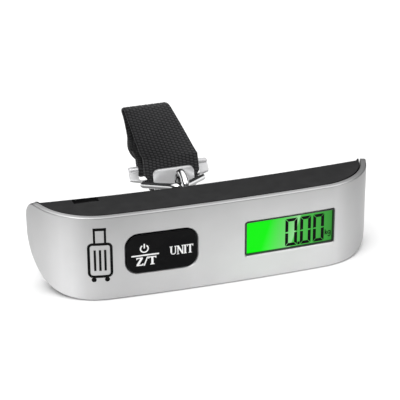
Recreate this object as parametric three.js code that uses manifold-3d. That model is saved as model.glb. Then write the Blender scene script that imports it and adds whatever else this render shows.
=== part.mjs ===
// Digital luggage scale: a bent silver face on a black housing, with a chrome
// eye, triangle ring, webbing loop and plate hook for the luggage.
//
// Frame: millimetres, +X to the display side, -Y out of the face, +Z up.
// The origin is on the flat underside of the housing, under its middle.

import * as THREE from 'three';
import { mergeVertices } from 'three/addons/utils/BufferGeometryUtils.js';
import Module from 'manifold-3d';

const wasm = await Module();
wasm.setup();

const rad = THREE.MathUtils.degToRad;
const V = (x, y, z) => new THREE.Vector3(x, y, z);

// ---------------------------------------------------------------- dimensions

const GAP = 0.3;                  // play between neighbouring pieces

const BODY_HEIGHT = 37;
const FACE_Y = -14;               // foremost line of the face
const FACE_RADIUS = 900;          // shallow curve of the face
const FACE_HALF_ARC = 46.8;       // half length of the shallow curve
const CORNER_RADIUS = 28.3;       // where the face turns into the ends
const WRAP_ANGLE = rad(70);       // how far each end turns back
const FACE_HALF_LENGTH = 88.9;    // half length of the face laid flat
const SHELL_WALL = 2.5;
const SHELL_EDGE = 0.7;           // rounding of the shell's outer edges
const TOP_CORNER = 6;             // corner of the laid-flat face at its top
const BOTTOM_CORNER_X = 36;       // larger corner at its bottom
const BOTTOM_CORNER_Z = 25;
const BOTTOM_CORNER_POWER = 2.35;

const REAR_Y = 10.9;              // rear face at the middle
const REAR_RADIUS = 827;          // the rear face is hollow, like a crescent
const REAR_EDGE = 4.8;              // rounding of the rear edges
const HOUSING_WALL = 2;
const TOP_STEP = 0.35;            // black top below the silver rim

const WINDOW = { s: 30.45, z: 18.8, width: 40.1, height: 15.5, corner: 1 };
const KEYPAD = { s: -25.45, z: 19.1, width: 29.7, height: 17, corner: 5.2 };
const KEYPAD_PROUD = 0.4;
const KEYPAD_THICKNESS = 2.4;
const KEY_S = [-33, -18];         // where each key presses its switch

const BOARD = { x0: -42, x1: 54, y0: -6.7, y1: -5.7, z0: 10.8, z1: 27.2 };

const DOOR = { x0: -63.5, x1: -40, z0: 8.5, z1: 29 };
const DOOR_THICKNESS = 2;
const DOOR_PIVOT_Z = 9.9;
const SCOOP = { x0: -57, x1: -46.5, y0: 4.4, y1: 9.6, depth: 2.4, lip: 0.5 };
const CELL_RADIUS = 10;           // coin cell
const CELL_THICKNESS = 3.2;

const SCREWS = [[-36, 7.5], [-36, 30.5], [58, 7.5], [58, 30.5]];
const POST_END_Y = 4;

const EYE_X = -6.5;
const EYE_Z = 29;
const EYE_ROD = 1.6;
const EYE_LOOP = { y: 19.6, halfY: 5.6, halfZ: 7.8 };
const EYE_STEM = 2;

const BEAM = { x0: -14, x1: 30, y0: -1.8, y1: 6.2, z0: 24, z1: 34 };
const BEAM_SCREWS = [20.5, 26.5];

const RING_ROD = 1.5;
const RING_HALF = 14.6;           // half length of the wide bar
const BAR = V(-3.9, 43, 23.5);    // middle of the ring's wide bar
const TAIL_YAW = rad(-6);         // the strap end turned from the body
const TAIL_ROLL = rad(-3);

const STRAP_WIDTH = 25;
const STRAP_THICKNESS = 1.6;
const STRAP_PINCH = 20.2;         // width where it is gathered in the ring
const STRAP_SLOPE = rad(68);      // upper layer above the horizontal
const STRAP_LENGTH = 34.4;        // ring bar to the far fold
const STRAP_TWIST = rad(29);      // turn of the far fold about the strap
const STRAP_LEAN = -8.9;          // sideways shift of the far fold
const FOLD_RADIUS = 1.5;

const HOOK_THICKNESS = 1.6;
const HOOK_BAR = { y: 10.2, z: 2.5 };  // from the ring's bar, in the tail frame
const HOOK_WIDTH = 35.5;
const HOOK_SLOT = 27.4;
const HOOK_TIP_WIDTH = 18;
const HOOK_TIP_HEIGHT = 8;

// ----------------------------------------------------------------- materials

const paint = (color, roughness, metalness) =>
  new THREE.MeshStandardMaterial({ color, roughness, metalness });

const SILVER = paint(0xc9cacc, 0.38, 0.65);
const BLACK = paint(0x232426, 0.62, 0);
const GLOSS_BLACK = paint(0x0d0d0e, 0.16, 0);
const DARK = paint(0x17181a, 0.5, 0);
const CHROME = paint(0xd9dbde, 0.12, 1);
const WEBBING = paint(0x1c1c1e, 0.9, 0);
const STEEL = paint(0xb3b6ba, 0.32, 1);
const ALUMINIUM = paint(0xc4c7ca, 0.4, 1);
const BOARD_GREEN = paint(0x1d5a34, 0.55, 0);
const LCD_GREEN = paint(0x24d81e, 0.25, 0);
const GLOW = paint(0x49f03a, 0.4, 0);
const RUBBER = paint(0x2a2a2c, 0.8, 0);
const FILM = paint(0xb98a3a, 0.5, 0);
const RED = paint(0xb02020, 0.5, 0);

// ------------------------------------------------------------ solid handling

const group = new THREE.Group();

function bare(geometry) {
  const g = geometry.clone();
  for (const name of Object.keys(g.attributes)) {
    if (name !== 'position') g.deleteAttribute(name);
  }
  return mergeVertices(g, 1e-4);
}

function signedVolume(position, index) {
  const a = V(0, 0, 0);
  const b = V(0, 0, 0);
  const c = V(0, 0, 0);
  let sum = 0;
  for (let i = 0; i < index.length; i += 3) {
    a.fromArray(position, index[i] * 3);
    b.fromArray(position, index[i + 1] * 3);
    c.fromArray(position, index[i + 2] * 3);
    sum += a.dot(b.cross(c));
  }
  return sum / 6;
}

function solid(geometry) {
  const g = bare(geometry);
  const vertProperties = Float32Array.from(g.attributes.position.array);
  const triVerts = Uint32Array.from(g.index.array);
  if (signedVolume(vertProperties, triVerts) < 0) {
    for (let i = 0; i < triVerts.length; i += 3) {
      [triVerts[i], triVerts[i + 1]] = [triVerts[i + 1], triVerts[i]];
    }
  }
  return new wasm.Manifold(new wasm.Mesh({ numProp: 3, vertProperties, triVerts }));
}

function toGeometry(manifold) {
  const mesh = manifold.getMesh();
  const g = new THREE.BufferGeometry();
  g.setAttribute('position', new THREE.BufferAttribute(Float32Array.from(mesh.vertProperties), 3));
  g.setIndex(new THREE.BufferAttribute(Uint32Array.from(mesh.triVerts), 1));
  g.computeVertexNormals();
  return g;
}

function place(name, shape, material) {
  const geometry = shape.isBufferGeometry ? toGeometry(solid(shape)) : toGeometry(shape);
  const mesh = new THREE.Mesh(geometry, material.clone());
  mesh.name = name;
  group.add(mesh);
  return mesh;
}

// ------------------------------------------------------------- basic shapes

function box(x0, x1, y0, y1, z0, z1) {
  const g = new THREE.BoxGeometry(x1 - x0, y1 - y0, z1 - z0);
  g.translate((x0 + x1) / 2, (y0 + y1) / 2, (z0 + z1) / 2);
  return solid(g);
}

// Cylinder along Y.
function rodY(x, z, radius, y0, y1, segments = 20) {
  const g = new THREE.CylinderGeometry(radius, radius, y1 - y0, segments);
  g.translate(x, (y0 + y1) / 2, z);
  return solid(g);
}

function rodX(y, z, radius, x0, x1, segments = 14) {
  const g = new THREE.CylinderGeometry(radius, radius, x1 - x0, segments);
  g.rotateZ(Math.PI / 2);
  g.translate((x0 + x1) / 2, y, z);
  return solid(g);
}

function rodZ(x, y, radius, z0, z1, segments = 18) {
  const g = new THREE.CylinderGeometry(radius, radius, z1 - z0, segments);
  g.rotateX(Math.PI / 2);
  g.translate(x, y, (z0 + z1) / 2);
  return solid(g);
}

function roundedRect(width, height, corner) {
  const w = width / 2;
  const h = height / 2;
  const shape = new THREE.Shape();
  shape.moveTo(-w + corner, -h);
  shape.lineTo(w - corner, -h);
  shape.absarc(w - corner, -h + corner, corner, -Math.PI / 2, 0, false);
  shape.lineTo(w, h - corner);
  shape.absarc(w - corner, h - corner, corner, 0, Math.PI / 2, false);
  shape.lineTo(-w + corner, h);
  shape.absarc(-w + corner, h - corner, corner, Math.PI / 2, Math.PI, false);
  shape.lineTo(-w, -h + corner);
  shape.absarc(-w + corner, -h + corner, corner, Math.PI, Math.PI * 1.5, false);
  return shape;
}

// Joins equal rings of points into one closed skin with flat ends.
function loft(rings) {
  const count = rings[0].length;
  const position = rings.flat().flatMap((p) => [p.x, p.y, p.z]);
  const index = [];
  for (let i = 0; i < rings.length - 1; i += 1) {
    for (let j = 0; j < count; j += 1) {
      const a = i * count + j;
      const b = i * count + (j + 1) % count;
      index.push(a, b, a + count, b, b + count, a + count);
    }
  }
  const last = (rings.length - 1) * count;
  for (let j = 1; j < count - 1; j += 1) {
    index.push(0, j + 1, j);
    index.push(last, last + j, last + j + 1);
  }
  const g = new THREE.BufferGeometry();
  g.setAttribute('position', new THREE.Float32BufferAttribute(position, 3));
  g.setIndex(index);
  return g;
}

// Round rod along a closed flat loop of points.
function closedRod(points, planeNormal, radius, segments = 12) {
  const n = points.length;
  const position = [];
  const index = [];
  points.forEach((p, i) => {
    const next = points[(i + 1) % n];
    const last = points[(i + n - 1) % n];
    const along = next.clone().sub(last).normalize();
    const side = along.clone().cross(planeNormal).normalize();
    for (let j = 0; j < segments; j += 1) {
      const a = j / segments * Math.PI * 2;
      const q = p.clone()
        .addScaledVector(side, Math.cos(a) * radius)
        .addScaledVector(planeNormal, Math.sin(a) * radius);
      position.push(q.x, q.y, q.z);
    }
  });
  for (let i = 0; i < n; i += 1) {
    for (let j = 0; j < segments; j += 1) {
      const k = (j + 1) % segments;
      const m = (i + 1) % n;
      const a = i * segments + j;
      const b = i * segments + k;
      const c = m * segments + j;
      const d = m * segments + k;
      index.push(a, b, c, b, d, c);
    }
  }
  const g = new THREE.BufferGeometry();
  g.setAttribute('position', new THREE.Float32BufferAttribute(position, 3));
  g.setIndex(index);
  return g;
}

// ------------------------------------------------------------ the bent face

// A point of the face's outer line at arc length s, and its turn angle.
function faceLine(s) {
  const a = Math.abs(s);
  const side = s < 0 ? -1 : 1;
  const start = FACE_HALF_ARC / FACE_RADIUS;
  const arcEnd = FACE_HALF_ARC + (WRAP_ANGLE - start) * CORNER_RADIUS;
  let turn = a / FACE_RADIUS;
  let x = FACE_RADIUS * Math.sin(turn);
  let y = FACE_RADIUS * (1 - Math.cos(turn));
  if (a > FACE_HALF_ARC) {
    turn = Math.min(start + (a - FACE_HALF_ARC) / CORNER_RADIUS, WRAP_ANGLE);
    x = FACE_RADIUS * Math.sin(start) + CORNER_RADIUS * (Math.sin(turn) - Math.sin(start));
    y = FACE_RADIUS * (1 - Math.cos(start)) + CORNER_RADIUS * (Math.cos(start) - Math.cos(turn));
    const straight = Math.max(0, a - arcEnd);
    x += straight * Math.cos(WRAP_ANGLE);
    y += straight * Math.sin(WRAP_ANGLE);
  }
  return { x: side * x, y: FACE_Y + y, turn: side * turn };
}

function facePoint(s, z, depth) {
  const line = faceLine(s);
  return V(line.x - depth * Math.sin(line.turn), line.y + depth * Math.cos(line.turn), z);
}

// Frame standing on the face: X along it, Y up, Z outward.
function faceFrame(s, z, depth) {
  const { turn } = faceLine(s);
  const along = V(Math.cos(turn), Math.sin(turn), 0);
  const out = V(Math.sin(turn), -Math.cos(turn), 0);
  return new THREE.Matrix4().makeBasis(along, V(0, 0, 1), out).setPosition(facePoint(s, z, depth));
}

function faceBottom(s) {
  const u = (Math.abs(s) - (FACE_HALF_LENGTH - BOTTOM_CORNER_X)) / BOTTOM_CORNER_X;
  if (u <= 0) return 0;
  const v = Math.max(0, 1 - Math.min(u, 1) ** BOTTOM_CORNER_POWER) ** (1 / BOTTOM_CORNER_POWER);
  return BOTTOM_CORNER_Z * (1 - v);
}

function faceTop(s) {
  const u = (Math.abs(s) - (FACE_HALF_LENGTH - TOP_CORNER)) / TOP_CORNER;
  if (u <= 0) return BODY_HEIGHT;
  return BODY_HEIGHT - TOP_CORNER * (1 - Math.sqrt(Math.max(0, 1 - Math.min(u, 1) ** 2)));
}

// Arc lengths of the sections, closer together where the outline turns.
function faceStations(limit = FACE_HALF_LENGTH) {
  const half = [0, 12, 24, 36, 44, 49];
  const steps = 20;
  for (let i = 0; i <= steps; i += 1) {
    const u = Math.sin(i / steps * Math.PI / 2);
    half.push(FACE_HALF_LENGTH - BOTTOM_CORNER_X + BOTTOM_CORNER_X * u);
  }
  const kept = half.filter((s) => s < limit - 0.05);
  kept.push(limit);
  return [...kept.slice(1).map((s) => -s).reverse(), ...kept];
}

// A block standing square on the face, from depth0 (outer) to depth1 (inner).
function faceBlock(at, width, height, corner, depth0, depth1) {
  const g = new THREE.ExtrudeGeometry(roundedRect(width, height, corner), {
    depth: depth1 - depth0,
    bevelEnabled: false,
    curveSegments: 6,
  });
  g.applyMatrix4(faceFrame(at.s, at.z, depth1));
  return solid(g);
}

function buildFrontShell() {
  const w = SHELL_WALL;
  const e = SHELL_EDGE;
  const rings = faceStations().map((s) => {
    const b = faceBottom(s);
    const t = faceTop(s);
    return [
      facePoint(s, b + e, 0),
      facePoint(s, b + e * 0.3, e * 0.3),
      facePoint(s, b, e),
      facePoint(s, b, w),
      facePoint(s, t, w),
      facePoint(s, t, e),
      facePoint(s, t - e * 0.3, e * 0.3),
      facePoint(s, t - e, 0),
    ];
  });
  let shell = solid(loft(rings));
  for (const [x, z] of SCREWS) {
    shell = shell.add(rodY(x, z, 2.5, faceLine(x).y + 1.5, POST_END_Y));
    shell = shell.subtract(rodY(x, z, 1.3, -6, POST_END_Y + 1, 16));
  }
  const window = faceBlock(WINDOW, WINDOW.width, WINDOW.height, WINDOW.corner, -3, 8);
  const clear = GAP * 2;
  const keys = faceBlock(
    KEYPAD, KEYPAD.width + clear, KEYPAD.height + clear, KEYPAD.corner + GAP, -3, 8,
  );
  const seat = faceBlock(WINDOW, 42.8, 18.4, 0.8, SHELL_WALL, 9);
  return shell.subtract(window).subtract(keys).subtract(seat);
}

// ------------------------------------------------------------- rear housing

function rearY(x) {
  return REAR_Y + x * x / (2 * REAR_RADIUS);
}

// Section across the housing: flat top and bottom, rounded rear edges.
function housingRing(x, yFront, yRear, z0, z1, edge) {
  const r = Math.max(0.2, Math.min(edge, (yRear - yFront) * 0.8, (z1 - z0) * 0.45));
  const ring = [V(x, yFront, z0)];
  const steps = 4;
  for (let i = 0; i <= steps; i += 1) {
    const a = -Math.PI / 2 + i / steps * Math.PI / 2;
    ring.push(V(x, yRear - r + r * Math.cos(a), z0 + r + r * Math.sin(a)));
  }
  for (let i = 0; i <= steps; i += 1) {
    const a = i / steps * Math.PI / 2;
    ring.push(V(x, yRear - r + r * Math.cos(a), z1 - r + r * Math.sin(a)));
  }
  ring.push(V(x, yFront, z1));
  return ring;
}

function housingBlank() {
  const depth = SHELL_WALL + GAP;
  const rings = faceStations(86.4).map((s) => {
    const front = facePoint(s, 0, depth);
    return housingRing(
      front.x, front.y, rearY(front.x), faceBottom(s), faceTop(s) - TOP_STEP, REAR_EDGE,
    );
  });
  return solid(loft(rings));
}

function housingHollow() {
  const rings = [];
  for (let x = -64; x <= 64; x += 8) {
    const bottom = HOUSING_WALL + faceBottom(Math.abs(x) * 1.05);
    rings.push(housingRing(
      x, -25, rearY(x) - HOUSING_WALL, bottom, BODY_HEIGHT - TOP_STEP - HOUSING_WALL,
      REAR_EDGE - HOUSING_WALL,
    ));
  }
  return solid(loft(rings));
}

function buildRearHousing(blank) {
  let housing = blank.subtract(housingHollow());
  for (const [x, z] of SCREWS) {
    housing = housing.add(rodY(x, z, 3.1, POST_END_Y + GAP, rearY(x) - 1.2));
  }
  for (const x of BEAM_SCREWS) {
    housing = housing.add(rodY(x, EYE_Z, 2.9, BEAM.y1 + GAP, rearY(x) - 1));
  }
  const scoopFloor = BODY_HEIGHT - TOP_STEP - SCOOP.depth;
  const ledge = box(SCOOP.x0 - 2, SCOOP.x1 + 2, SCOOP.y0 - 2, 10.8, scoopFloor - 2, 36);
  housing = housing.add(ledge);
  housing = housing.subtract(box(SCOOP.x0, SCOOP.x1, SCOOP.y0, SCOOP.y1, scoopFloor, 40));
  const lipTop = BODY_HEIGHT - TOP_STEP - SCOOP.lip;
  housing = housing.subtract(box(SCOOP.x0, SCOOP.x1, SCOOP.y1 - 0.1, 20, lipTop, 40));
  for (const [x, z] of SCREWS) {
    housing = housing.subtract(rodY(x, z, 1.3, 0, 20, 16));
    housing = housing.subtract(rodY(x, z, 2.4, rearY(x) - 2, 20));
  }
  for (const x of BEAM_SCREWS) {
    housing = housing.subtract(rodY(x, EYE_Z, 1.8, 5, rearY(x) - 1.2, 16));
  }
  housing = housing.subtract(rodY(EYE_X, EYE_Z, 4.6, 5, 20));
  housing = housing.subtract(box(DOOR.x0, DOOR.x1, 8, 20, DOOR.z0, DOOR.z1));
  const pivotY = doorPivotY();
  housing = housing.subtract(
    rodX(pivotY, DOOR_PIVOT_Z, 0.8, DOOR.x0 - 1.5, DOOR.x1 + 1.5, 16),
  );
  return housing;
}

function doorPivotY() {
  return rearY((DOOR.x0 + DOOR.x1) / 2) - DOOR_THICKNESS / 2;
}

function buildBatteryDoor(blank) {
  const { x0, x1, z1 } = DOOR;
  const slab = box(x0 + GAP, x1 - GAP, 5, 20, DOOR_PIVOT_Z, z1 - GAP);
  let door = blank.intersect(slab).subtract(blank.translate([0, -DOOR_THICKNESS, 0]));
  door = door.add(rodX(doorPivotY(), DOOR_PIVOT_Z, 0.95, x0 + GAP, x1 - GAP));
  door = door.add(rodX(doorPivotY(), DOOR_PIVOT_Z, 0.5, x0 - 1.2, x1 + 1.2, 12));
  const middle = (SCOOP.x0 + SCOOP.x1) / 2;
  const y = rearY(middle);
  for (let i = 0; i < 3; i += 1) {
    const z = 24.5 - i * 2.2;
    door = door.subtract(box(middle - 5, middle + 5, y - 0.5, y + 2, z, z + 0.9));
  }
  return door;
}

// -------------------------------------------------- keys, display and board

function buildKeypad() {
  const bevel = 0.5;
  const g = new THREE.ExtrudeGeometry(
    roundedRect(KEYPAD.width - bevel * 2, KEYPAD.height - bevel * 2, KEYPAD.corner - bevel),
    {
      depth: KEYPAD_THICKNESS - bevel * 2,
      bevelEnabled: true,
      bevelThickness: bevel,
      bevelSize: bevel,
      bevelSegments: 2,
      curveSegments: 6,
    },
  );
  g.translate(0, 0, bevel);
  g.applyMatrix4(faceFrame(KEYPAD.s, KEYPAD.z, KEYPAD_THICKNESS - KEYPAD_PROUD));
  let pad = solid(g);
  for (const s of KEY_S) {
    const y = facePoint(s, 0, KEYPAD_THICKNESS - KEYPAD_PROUD).y;
    pad = pad.add(rodY(faceLine(s).x, KEYPAD.z, 1.6, y - 0.5, -11.2, 20));
  }
  return pad;
}

function buildSwitch(s) {
  const { x } = faceLine(s);
  const y1 = BOARD.y0 - GAP;
  const body = box(x - 3, x + 3, y1 - 2.8, y1, KEYPAD.z - 3, KEYPAD.z + 3);
  return body.subtract(rodY(x, KEYPAD.z, 2, y1 - 4, y1 - 1.2, 20));
}

function buildPlunger(s) {
  const { x } = faceLine(s);
  return rodY(x, KEYPAD.z, 1.7, -10.9, BOARD.y0 - GAP - 2.8 + 0.9, 24);
}

function buildDisplayFrame() {
  const outer = faceBlock(
    WINDOW, WINDOW.width - 0.4, WINDOW.height - 0.4, WINDOW.corner - 0.2, 0.4, SHELL_WALL,
  );
  const inner = faceBlock(
    WINDOW, WINDOW.width - 1.1, WINDOW.height - 1.1, WINDOW.corner - 0.5, -1, SHELL_WALL + 1,
  );
  return outer.subtract(inner);
}

function buildDisplay() {
  place('lcd_frame', buildDisplayFrame(), DARK);
  // the panel, with its clear cover standing forward inside the liner
  const cover = faceBlock(
    WINDOW, WINDOW.width - 1.3, WINDOW.height - 1.3, 0.3, 1.3, SHELL_WALL + GAP + 0.1);
  const glass = faceBlock(WINDOW, 42, 17.6, 0.6, SHELL_WALL + GAP, SHELL_WALL + GAP + 1.5)
    .add(cover);
  place('lcd_glass', glass, LCD_GREEN);
  const back = { s: WINDOW.s, z: WINDOW.z + 1.2 };
  place('backlight', faceBlock(back, 41, 15, 0.5, SHELL_WALL + 2.1, SHELL_WALL + 3.3), GLOW);
  const strip = { s: WINDOW.s, z: WINDOW.z - 7.8 };
  place('lcd_connector', faceBlock(strip, 38, 1.6, 0.2, SHELL_WALL + 2.1, SHELL_WALL + 3.3), RUBBER);
}

function buildBoard() {
  const board = box(BOARD.x0, BOARD.x1, BOARD.y0, BOARD.y1, BOARD.z0, BOARD.z1);
  return board.subtract(rodY(48, 12.8, 1.1, -10, 0, 16));
}

// -------------------------------------------------------------- load sensor

function buildBeam() {
  let beam = box(BEAM.x0, BEAM.x1, BEAM.y0, BEAM.y1, BEAM.z0, BEAM.z1);
  const middle = (BEAM.y0 + BEAM.y1) / 2;
  beam = beam.subtract(rodZ(4, middle, 2.9, 20, 40));
  beam = beam.subtract(rodZ(12, middle, 2.9, 20, 40));
  beam = beam.subtract(box(4, 12, middle - 1.2, middle + 1.2, 20, 40));
  beam = beam.subtract(rodY(EYE_X, EYE_Z, 2.3, -10, 10));
  for (const x of BEAM_SCREWS) beam = beam.subtract(rodY(x, EYE_Z, 1.8, -10, 10, 16));
  return beam;
}

function buildBeamScrew(x) {
  const head = rodY(x, EYE_Z, 2.7, BEAM.y0 - GAP - 1.8, BEAM.y0 - GAP);
  const shank = rodY(x, EYE_Z, 1.5, BEAM.y0 - GAP - 0.5, 9, 16);
  const slot = box(x - 0.4, x + 0.4, -6, BEAM.y0 - GAP - 1.1, EYE_Z - 3, EYE_Z + 3);
  return head.add(shank).subtract(slot);
}

function buildEye() {
  const points = [];
  const { y, halfY, halfZ } = EYE_LOOP;
  const steps = 10;
  for (let i = 0; i <= steps; i += 1) {
    const a = i / steps * Math.PI;
    points.push(V(EYE_X, y + halfY * Math.cos(a), EYE_Z + halfZ - halfY + halfY * Math.sin(a)));
  }
  for (let i = 0; i <= steps; i += 1) {
    const a = Math.PI + i / steps * Math.PI;
    points.push(V(EYE_X, y + halfY * Math.cos(a), EYE_Z - halfZ + halfY + halfY * Math.sin(a)));
  }
  const loop = solid(closedRod(points, V(1, 0, 0), EYE_ROD, 12));
  const stem = rodY(EYE_X, EYE_Z, EYE_STEM, -5.4, y - halfY + 0.4);
  return loop.add(stem);
}

function buildNut() {
  const g = new THREE.CylinderGeometry(4, 4, 2, 6);
  g.translate(EYE_X, -4.2, EYE_Z);
  return solid(g).subtract(rodY(EYE_X, EYE_Z, 2.3, -10, 0));
}

function buildCable() {
  const shape = new THREE.Shape();
  shape.moveTo(9, -2.7);
  shape.lineTo(13, -2.7);
  shape.bezierCurveTo(17, -2.7, 15, -5, 19, -5);
  shape.lineTo(24, -5);
  shape.lineTo(24, -5.35);
  shape.lineTo(19, -5.35);
  shape.bezierCurveTo(14.6, -5.35, 16.6, -3.05, 13, -3.05);
  shape.lineTo(9, -3.05);
  const g = new THREE.ExtrudeGeometry(shape, { depth: 3.4, bevelEnabled: false, curveSegments: 8 });
  g.translate(0, 0, 22.6);
  return solid(g);
}

// ------------------------------------------------------------------ battery

const CELL_X = (DOOR.x0 + DOOR.x1) / 2;
const CELL_Z = 19;
const CELL_Y1 = 8.6;

function buildTray() {
  let tray = rodY(CELL_X, CELL_Z, CELL_RADIUS + 1.3, 3.4, 8.2, 36);
  tray = tray.subtract(rodY(CELL_X, CELL_Z, CELL_RADIUS + GAP, 4.4, 10, 36));
  tray = tray.subtract(box(CELL_X - 3, CELL_X + 3, 3, 10, CELL_Z + 8, 40));
  return tray.subtract(rodY(CELL_X, CELL_Z - 6, 1.2, 0, 6, 12));
}

function buildPositiveContact() {
  const leg = box(CELL_X - 2.4, CELL_X + 2.4, 2.6, 9.3, CELL_Z + 10.4, CELL_Z + 10.8);
  const tab = box(CELL_X - 2.4, CELL_X + 2.4, 8.9, 9.3, CELL_Z + 7, CELL_Z + 10.8);
  return leg.add(tab);
}

function buildNegativeContact() {
  const blade = box(CELL_X - 2.5, CELL_X + 2.5, 4.7, 4.95, CELL_Z - 7, CELL_Z + 5);
  return blade.add(rodY(CELL_X, CELL_Z, 1.6, 4.8, 5.15, 20));
}

function buildWire(points) {
  const path = new THREE.CatmullRomCurve3(points);
  const shape = new THREE.Shape();
  shape.absarc(0, 0, 0.5, 0, Math.PI * 2, false);
  return solid(new THREE.ExtrudeGeometry(shape, {
    steps: 10, bevelEnabled: false, extrudePath: path, curveSegments: 4,
  }));
}

function buildCaseScrew(x, z) {
  const y = rearY(x) - 2;
  const head = rodY(x, z, 2.1, y + GAP, y + 1.5 + GAP);
  const shank = rodY(x, z, 1, -1, y + 1, 14);
  const cross = box(x - 1.2, x + 1.2, y + 1.2, y + 4, z - 0.25, z + 0.25)
    .add(box(x - 0.25, x + 0.25, y + 1.2, y + 4, z - 1.2, z + 1.2));
  return head.add(shank).subtract(cross);
}

// --------------------------------------------------- ring, strap and hook

// Frame of the strap's lower end: X along the ring's wide bar, origin on it.
const tail = new THREE.Matrix4()
  .makeRotationZ(TAIL_YAW)
  .multiply(new THREE.Matrix4().makeRotationY(TAIL_ROLL))
  .setPosition(BAR);

const tailPoint = (x, y, z) => V(x, y, z).applyMatrix4(tail);

// Rounds the corners of a closed polygon.
function roundedLoop(corners, radii, steps = 6) {
  const points = [];
  corners.forEach((corner, i) => {
    const before = corners[(i + corners.length - 1) % corners.length];
    const after = corners[(i + 1) % corners.length];
    const a = before.clone().sub(corner).normalize();
    const b = after.clone().sub(corner).normalize();
    const half = Math.acos(THREE.MathUtils.clamp(a.dot(b), -1, 1)) / 2;
    const reach = radii[i] / Math.tan(half);
    const centre = corner.clone()
      .addScaledVector(a.clone().add(b).normalize(), radii[i] / Math.sin(half));
    const from = corner.clone().addScaledVector(a, reach).sub(centre);
    const to = corner.clone().addScaledVector(b, reach).sub(centre);
    const sweep = from.angleTo(to);
    for (let k = 0; k <= steps; k += 1) {
      const f = k / steps;
      const p = from.clone().multiplyScalar(Math.sin((1 - f) * sweep) / Math.sin(sweep))
        .addScaledVector(to, Math.sin(f * sweep) / Math.sin(sweep));
      points.push(centre.clone().add(p));
    }
  });
  return points;
}

function buildRing() {
  const left = tailPoint(-RING_HALF, 0, 0);
  const right = tailPoint(RING_HALF, 0, 0);
  // the pointed end turns round the far side of the eye
  const bend = EYE_ROD + GAP + 0.1 + RING_ROD;
  const leg = V(EYE_X, EYE_LOOP.y + EYE_LOOP.halfY, EYE_Z);
  const way = leg.clone().sub(BAR);
  let reach = bend * 2;
  for (let i = 0; i < 4; i += 1) {
    const half = Math.atan(RING_HALF / (way.length() + reach));
    reach = bend / Math.sin(half);
  }
  const apex = leg.clone().addScaledVector(way.normalize(), reach);
  const normal = right.clone().sub(left).cross(apex.clone().sub(left)).normalize();
  const points = roundedLoop([left, right, apex], [2.2, 2.2, bend]);
  return solid(closedRod(points, normal, RING_ROD, 10));
}

// Side view of the webbing, from the sewn end on the ring, round the fold,
// to the sewn end on the hook, in the plane of the tail frame's Y and Z.
function strapLine() {
  const r = RING_ROD + GAP + STRAP_THICKNESS / 2;
  const along = V(0, Math.cos(STRAP_SLOPE), Math.sin(STRAP_SLOPE));
  const out = V(0, -Math.sin(STRAP_SLOPE), Math.cos(STRAP_SLOPE));
  const pitch = STRAP_THICKNESS + 0.25;
  const points = [];
  const at = (u, v) => V(0, 0, 0).addScaledVector(along, u).addScaledVector(out, v);
  // sewn end under the upper layer, then round the ring's wide bar
  points.push(at(11, r - pitch));
  points.push(at(8, r - pitch - 0.1));
  points.push(at(5.2, r - pitch - 0.9));
  points.push(at(3.1, -r * 0.62));
  const arcs = 10;
  for (let i = 0; i <= arcs; i += 1) {
    const a = rad(-68) - i / arcs * rad(202);
    points.push(at(r * Math.cos(a), r * Math.sin(a)));
  }
  // upper layer, gently bowed, up to the fold
  const top = STRAP_LENGTH - FOLD_RADIUS - STRAP_THICKNESS / 2;
  for (let i = 1; i <= 8; i += 1) {
    const u = top * i / 8;
    points.push(at(u, r + 0.8 * Math.sin(i / 8 * Math.PI)));
  }
  for (let i = 1; i < 8; i += 1) {
    const a = i / 8 * Math.PI;
    points.push(at(top + FOLD_RADIUS * Math.sin(a), r - FOLD_RADIUS + FOLD_RADIUS * Math.cos(a)));
  }
  return { points, at, r, top, pitch, along, out };
}

// Second half of the line: back layer, hook bar and its sewn end.
function strapReturn({ at, r, top, pitch, along, out }) {
  const bar = V(0, HOOK_BAR.y, HOOK_BAR.z);
  const barU = bar.dot(along);
  const barV = bar.dot(out);
  const start = V(0, top, r - FOLD_RADIUS * 2);
  const away = Math.atan2(start.z - barV, start.y - barU);
  const reach = Math.hypot(start.y - barU, start.z - barV);
  const side = away - Math.acos(r / reach);
  const points = [];
  const touch = [barU + r * Math.cos(side), barV + r * Math.sin(side)];
  for (let i = 0; i <= 6; i += 1) {
    const f = i / 6;
    const sag = 0.7 * Math.sin(f * Math.PI);
    points.push(at(
      THREE.MathUtils.lerp(start.y, touch[0], f) + sag * Math.cos(side),
      THREE.MathUtils.lerp(start.z, touch[1], f) + sag * Math.sin(side),
    ));
  }
  for (let i = 1; i <= 10; i += 1) {
    const a = side - i / 10 * rad(200);
    points.push(at(barU + r * Math.cos(a), barV + r * Math.sin(a)));
  }
  const inner = (f, off) => at(
    THREE.MathUtils.lerp(touch[0], start.y, f) - off * Math.cos(side),
    THREE.MathUtils.lerp(touch[1], start.z, f) - off * Math.sin(side),
  );
  points.push(inner(0.15, pitch * 2.05));
  points.push(inner(0.27, pitch * 1.1));
  points.push(inner(0.42, pitch * 0.72));
  points.push(inner(0.62, pitch * 0.68));
  return points;
}

// Turns and shifts the webbing more towards its far fold.
function strapBend(point) {
  const along = V(0, Math.cos(STRAP_SLOPE), Math.sin(STRAP_SLOPE));
  const height = point.dot(along);
  const straight = 10.8;
  const f = THREE.MathUtils.clamp((height - straight) / (STRAP_LENGTH - straight), 0, 1);
  const ease = f ** 0.85;
  const turn = STRAP_TWIST * ease;
  const axis = along.clone().multiplyScalar(height);
  const p = point.clone().sub(axis).applyAxisAngle(along, turn).add(axis);
  p.x += STRAP_LEAN * ease;
  return p;
}

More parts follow.
